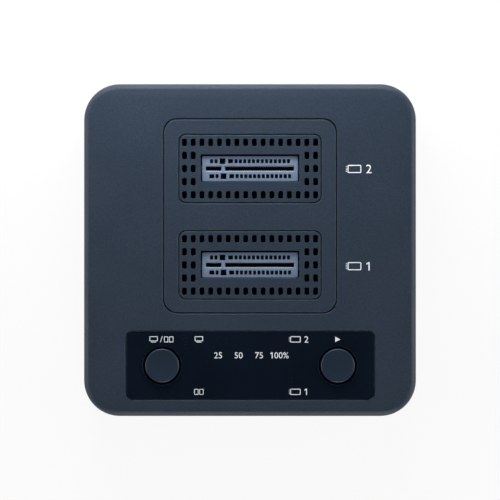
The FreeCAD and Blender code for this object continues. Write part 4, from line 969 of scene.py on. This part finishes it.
def make_rocker_marks():
    """The usual bar and ring on the rocker's two faces, moulded a hair above the tilted faces."""
    axis_z = seen_from_behind("power_switch_housing")[0][1]
    pivot = (20.0 * MM, 34.4 * MM)
    rest = math.radians(-8.0)
    middle, end, half = 2.35 * MM, 3.0 * MM, 4.05 * MM
    slope = math.atan2(end - middle, half)
    spread, relief, line = 2.2 * MM, 0.03 * MM, 0.22 * MM
    for name, side in (("rocker_bar", -1), ("rocker_ring", 1)):
        ring = circular(0.75 * MM, (0, 0), 40)
        bar = rounded(0.24 * MM, 1.5 * MM, 0.1 * MM, (0, 0), 4)
        shape, holes = (bar, []) if side < 0 else (ring, [ring(-line)])

        def place(lift):
            def stand(flat):
                along = side * spread + flat[:, 0] * math.cos(slope)
                out = middle + (end - middle) * np.abs(along) / half + lift
                x = pivot[0] + along * math.cos(rest) - out * math.sin(rest)
                y = pivot[1] + along * math.sin(rest) + out * math.cos(rest)
                return np.column_stack([x, y, axis_z + flat[:, 1]])
            return stand

        skin = Skin()
        skin.tile(shape(), holes, place, relief)
        place_piece(name, skin.mesh(name), "rocker", "mark_ink")


# ---------------------------------------------------------------- printed marks


def inlay(name, shapes, height):
    """Printed shapes as thin closed tiles, each a flat outline with its holes."""
    skin = Skin()
    for outer, holes in shapes:
        skin.tile(outer, holes, lambda lift: level(height + lift), PRINT)
    place_piece(name, skin.mesh(name), "dock", "mark_ink")


def lettered(name, words, cap_height, centre, height):
    """Plain numbers as a thin closed tile, centred on a point."""
    text = bpy.data.curves.new(name, "FONT")
    text.body = words
    text.resolution_u = 6
    carrier = bpy.data.objects.new(name + "_text", text)
    flat = bpy.data.meshes.new_from_object(carrier)
    bpy.data.objects.remove(carrier)
    points = np.zeros(len(flat.vertices) * 3)
    flat.vertices.foreach_get("co", points)
    points = points.reshape(-1, 3)
    low, high = points.min(0), points.max(0)
    scale = cap_height / (high[1] - low[1])
    points = (points - (low + high) / 2) * scale + np.array([centre[0], centre[1], height])
    flat.vertices.foreach_set("co", points.ravel())
    work = bmesh.new()
    work.from_mesh(flat)
    bmesh.ops.remove_doubles(work, verts=work.verts, dist=1e-7)
    raised = bmesh.ops.extrude_face_region(work, geom=work.faces[:])
    lifted = [item for item in raised["geom"] if isinstance(item, bmesh.types.BMVert)]
    bmesh.ops.translate(work, verts=lifted, vec=(0, 0, PRINT))
    bmesh.ops.recalc_face_normals(work, faces=work.faces)
    work.to_mesh(flat)
    work.free()
    flat.name = name
    place_piece(name, flat, "dock", "mark_ink")


def hollow_box(x, y, width, depth, line, corner):
    """A rounded frame of even line width about a point."""
    shape = rounded(width, depth, corner, (x, y), 3)
    return shape(), [shape(-line)]


def solid(*corners):
    """A plain filled outline."""
    return np.array(corners), []


def bar(x, y, width, depth):
    """A plain filled rectangle about a point."""
    return rounded(width, depth, 0.02 * MM, (x, y), 1)(), []


def card_sign(x, y, size):
    """A drive card seen from above: a frame with contact fingers along its left end."""
    width, line = 1.7 * size, 0.12 * size
    length, left = 0.14 * size, x - width / 2 - 0.14 * size
    fingers = [bar(left, y + (step - 1.5) * 0.2 * size, length, 0.09 * size) for step in range(4)]
    return [hollow_box(x, y, width, size, line, 0.14 * size)] + fingers


def figure_one(x, y, size):
    """The numeral one, with its flag."""
    corners = [(0.1, -0.5), (0.1, 0.5), (-0.04, 0.5), (-0.3, 0.32), (-0.3, 0.16), (-0.06, 0.3), (-0.06, -0.5)]
    return [solid(*[(x + across * size, y + up * size) for across, up in corners])]


def screen_sign(x, y, size):
    """A computer's screen on its foot."""
    return [
        hollow_box(x, y + 0.1 * size, 1.35 * size, 0.8 * size, 0.11 * size, 0.1 * size),
        bar(x, y - 0.44 * size, 0.8 * size, 0.11 * size),
    ]


def copy_sign(x, y, size):
    """Two equal cards side by side, for a copy."""
    places = (x - 0.42 * size, x + 0.42 * size)
    return [hollow_box(place, y, 0.7 * size, 0.95 * size, 0.11 * size, 0.1 * size) for place in places]


def slash(x, y, size):
    """A thin slanted stroke between two signs."""
    lean, half = 0.16 * size, 0.055 * size
    return [
        solid(
            (x - lean - half, y - size / 2), (x - lean + half, y - size / 2),
            (x + lean + half, y + size / 2), (x + lean - half, y + size / 2),
        )
    ]


def make_marks():
    """Generic signs and plain numbers for the bays, their lamps, the progress scale and the buttons."""
    panel_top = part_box("control_panel")[1].z
    row_high, row_low, small = -20.45 * MM, -32.45 * MM, 1.4 * MM
    bay_tall, lamp_tall = 1.95 * MM, 1.45 * MM
    rear_y, front_y = 18.55 * MM, -3.7 * MM
    for number, y in ((2, rear_y), (1, front_y)):
        inlay(f"bay_sign_{number}", card_sign(23.9 * MM, y, 1.85 * MM), TOP)
    for number, y in ((2, row_high), (1, row_low)):
        inlay(f"lamp_sign_{number}", card_sign(10.4 * MM, y, small), panel_top)
    lettered("bay_figure_2", "2", bay_tall, (27.2 * MM, rear_y), TOP)
    lettered("lamp_figure_2", "2", lamp_tall, (12.9 * MM, row_high), panel_top)
    inlay("bay_figure_1", figure_one(27.2 * MM, front_y, bay_tall), TOP)
    inlay("lamp_figure_1", figure_one(12.9 * MM, row_low, lamp_tall), panel_top)
    progress_y = -24.1 * MM
    for words, x in (("25", -7.3), ("50", -2.6), ("75", 2.07), ("00%", 7.2)):
        lettered("progress_" + words.strip("%"), words, small, (x * MM, progress_y), panel_top)
    inlay("progress_one", figure_one(5.05 * MM, progress_y, small), panel_top)
    x = -20.3 * MM
    signs = screen_sign(x - 1.75 * MM, row_high, small) + slash(x, row_high, small)
    inlay("mode_sign", signs + copy_sign(x + 1.7 * MM, row_high, small), panel_top)
    inlay("screen_sign", screen_sign(-11.7 * MM, row_high, small), panel_top)
    inlay("copy_sign", copy_sign(-11.7 * MM, row_low, small), panel_top)
    x, half = 20.1 * MM, 0.62 * MM
    triangle = solid((x - half, row_high - half), (x + half, row_high), (x - half, row_high + half))
    inlay("start_sign", [triangle], panel_top)


# ---------------------------------------------------------------- dressing the solids


for node, item in frame["nodes"].items():
    item.data.materials.clear()
    item.data.materials.append(FINISHES[SLOT_OF[node]])

make_top_shell()
make_bay_plate()
make_grille("rear_grille_cover", "rear_grille")
make_grille("front_grille_cover", "front_grille")
make_control_panel()
make_button("mode_cap", "mode_button")
make_button("start_cap", "start_button")
make_socket("rear_socket", "rear_socket_housing")
make_socket("front_socket", "front_socket_housing")
make_contacts("rear_springs", "rear_socket_contacts")
make_contacts("front_springs", "front_socket_contacts")
# Widths of the rounded edges, in millimetres.
SOFT_EDGES = {
    "bottom_cover": 0.25, "rubber_feet": 0.25, "dc_jack_housing": 0.12, "dc_jack_pin": 0.1,
    "usb_c_shell": 0.08, "usb_c_tongue": 0.08, "power_switch_housing": 0.2, "power_rocker": 0.15,
}
for node, width in SOFT_EDGES.items():
    softened(node, width * MM)
make_tongue_contacts()
make_rocker_marks()
make_marks()


# ---------------------------------------------------------------- studio


PAPER, WHITE = (0.92, 0.92, 0.92, 1.0), (1.0, 1.0, 1.0, 1.0)
ROOM_CEILING, ROOM_WALLS = (0.02, 0.022, 0.025, 1.0), (0.26, 0.28, 0.31, 1.0)
GLOW_SHARE = 0.9
MIDDLE, SIDE_BOX = (0.0, 0.0, 0.03), (0.35, 0.25)


def area_lamp(name, place, aim, size, power):
    """A soft light of a width and a height that faces a point."""
    lamp = bpy.data.lights.new(name, "AREA")
    lamp.shape = "RECTANGLE"
    lamp.size, lamp.size_y = size
    lamp.energy = power
    carrier = bpy.data.objects.new(name, lamp)
    bpy.context.scene.collection.objects.link(carrier)
    direction = Vector(aim) - Vector(place)
    carrier.location = place
    carrier.rotation_euler = direction.to_track_quat("-Z", "Y").to_euler()
    return carrier


def mix_shaders(tree, at, share, first, second):
    """Two shaders mixed by the share of the second."""
    return wire(tree, "ShaderNodeMixShader", at, {0: share, 1: first, 2: second}).outputs[0]


def make_floor():
    """A wide pale floor, white to the camera, that takes the object's shadow and is clear from below."""
    half, low = 2.0, -0.02 * MM
    corners = [(-half, -half, low), (half, -half, low), (half, half, low), (-half, half, low)]
    data = bpy.data.meshes.new("floor")
    data.from_pydata(corners, [], [[0, 1, 2, 3]])
    floor = bpy.data.objects.new("floor", data)
    bpy.context.scene.collection.objects.link(floor)
    material = bpy.data.materials.new("floor_paper")
    material.use_nodes = True
    tree = material.node_tree
    tree.nodes.clear()
    paper = wire(tree, "ShaderNodeBsdfDiffuse", (0, 100), {"Color": PAPER}).outputs[0]
    glow = wire(tree, "ShaderNodeEmission", (0, -100), {"Color": WHITE, "Strength": 1.0}).outputs[0]
    rays = wire(tree, "ShaderNodeLightPath", (-500, 300)).outputs
    seen = combine(tree, (-350, 300), "MAXIMUM", rays["Is Camera Ray"], rays["Is Transmission Ray"])
    either = combine(tree, (-280, 300), "MAXIMUM", seen, rays["Is Glossy Ray"])
    share = combine(tree, (-200, 300), "MULTIPLY", either, GLOW_SHARE)
    above = mix_shaders(tree, (300, 0), share, paper, glow)
    under = wire(tree, "ShaderNodeNewGeometry", (300, 300)).outputs["Backfacing"]
    clear = wire(tree, "ShaderNodeBsdfTransparent", (300, -200)).outputs[0]
    sides = mix_shaders(tree, (600, 0), under, above, clear)
    wire(tree, "ShaderNodeOutputMaterial", (900, 0), {"Surface": sides})
    data.materials.append(material)


def make_world():
    """A room with pale walls and a dim ceiling, white where the camera looks past the floor."""
    world = bpy.data.worlds.new("studio_room")
    world.use_nodes = True
    tree = world.node_tree
    tree.nodes.clear()
    way = wire(tree, "ShaderNodeTexCoord", (-900, -100)).outputs["Generated"]
    height = wire(tree, "ShaderNodeSeparateXYZ", (-700, -100), {"Vector": way}).outputs["Z"]
    low = ramp(tree, (-500, -100), height, 1.0, 0.0, 0.0, 0.5)
    tone = blend_colours(tree, (-250, 100), low, ROOM_CEILING, ROOM_WALLS)
    room = wire(tree, "ShaderNodeBackground", (0, 100), {"Color": tone, "Strength": 1.0}).outputs[0]
    white = wire(tree, "ShaderNodeBackground", (0, -100), {"Color": WHITE, "Strength": 1.0}).outputs[0]
    rays = wire(tree, "ShaderNodeLightPath", (-900, 400)).outputs
    seen = combine(tree, (-500, 350), "MAXIMUM", rays["Is Glossy Ray"], rays["Is Transmission Ray"])
    skirting = ramp(tree, (-500, -350), height, 0.6, 0.0, 0.0, 0.15)
    walls = combine(tree, (-300, 350), "MULTIPLY", seen, skirting)
    share = combine(tree, (-100, 350), "MAXIMUM", rays["Is Camera Ray"], walls)
    view = mix_shaders(tree, (300, 0), share, room, white)
    wire(tree, "ShaderNodeOutputWorld", (600, 0), {"Surface": view})
    bpy.context.scene.world = world


def make_camera():
    """A long lens straight above, leaning a little towards the front."""
    distance, view_width, lean = 1.6, 114.4 * MM, math.radians(0.45)
    buttons_proud = 0.75 * MM
    top = cad_box[1].z - buttons_proud
    lens = bpy.data.cameras.new("overhead")
    lens.sensor_width = 36.0
    lens.lens = lens.sensor_width * distance / view_width
    lens.clip_end = 10.0
    camera = bpy.data.objects.new("overhead", lens)
    bpy.context.scene.collection.objects.link(camera)
    camera.location = (0.0, -distance * math.sin(lean), top + distance * math.cos(lean))
    camera.rotation_euler = (lean, 0.0, 0.0)
    bpy.context.scene.camera = camera


make_floor()
make_world()
make_camera()
area_lamp("back_softbox", (-0.05, 0.5, 0.30), MIDDLE, (0.4, 0.25), 1.3)
back_strip = area_lamp("back_strip", (-0.01, 0.098, 0.064), (0.0, 0.03, 0.032), (0.14, 0.03), 0.16)
back_strip.visible_glossy = False
area_lamp("left_softbox", (-0.55, 0.0, 0.28), MIDDLE, SIDE_BOX, 1.08)
area_lamp("right_softbox", (0.55, 0.0, 0.28), MIDDLE, SIDE_BOX, 1.33)
area_lamp("front_softbox", (0.05, -0.55, 0.28), MIDDLE, SIDE_BOX, 1.35)

bpy.context.scene.view_settings.view_transform = "Standard"
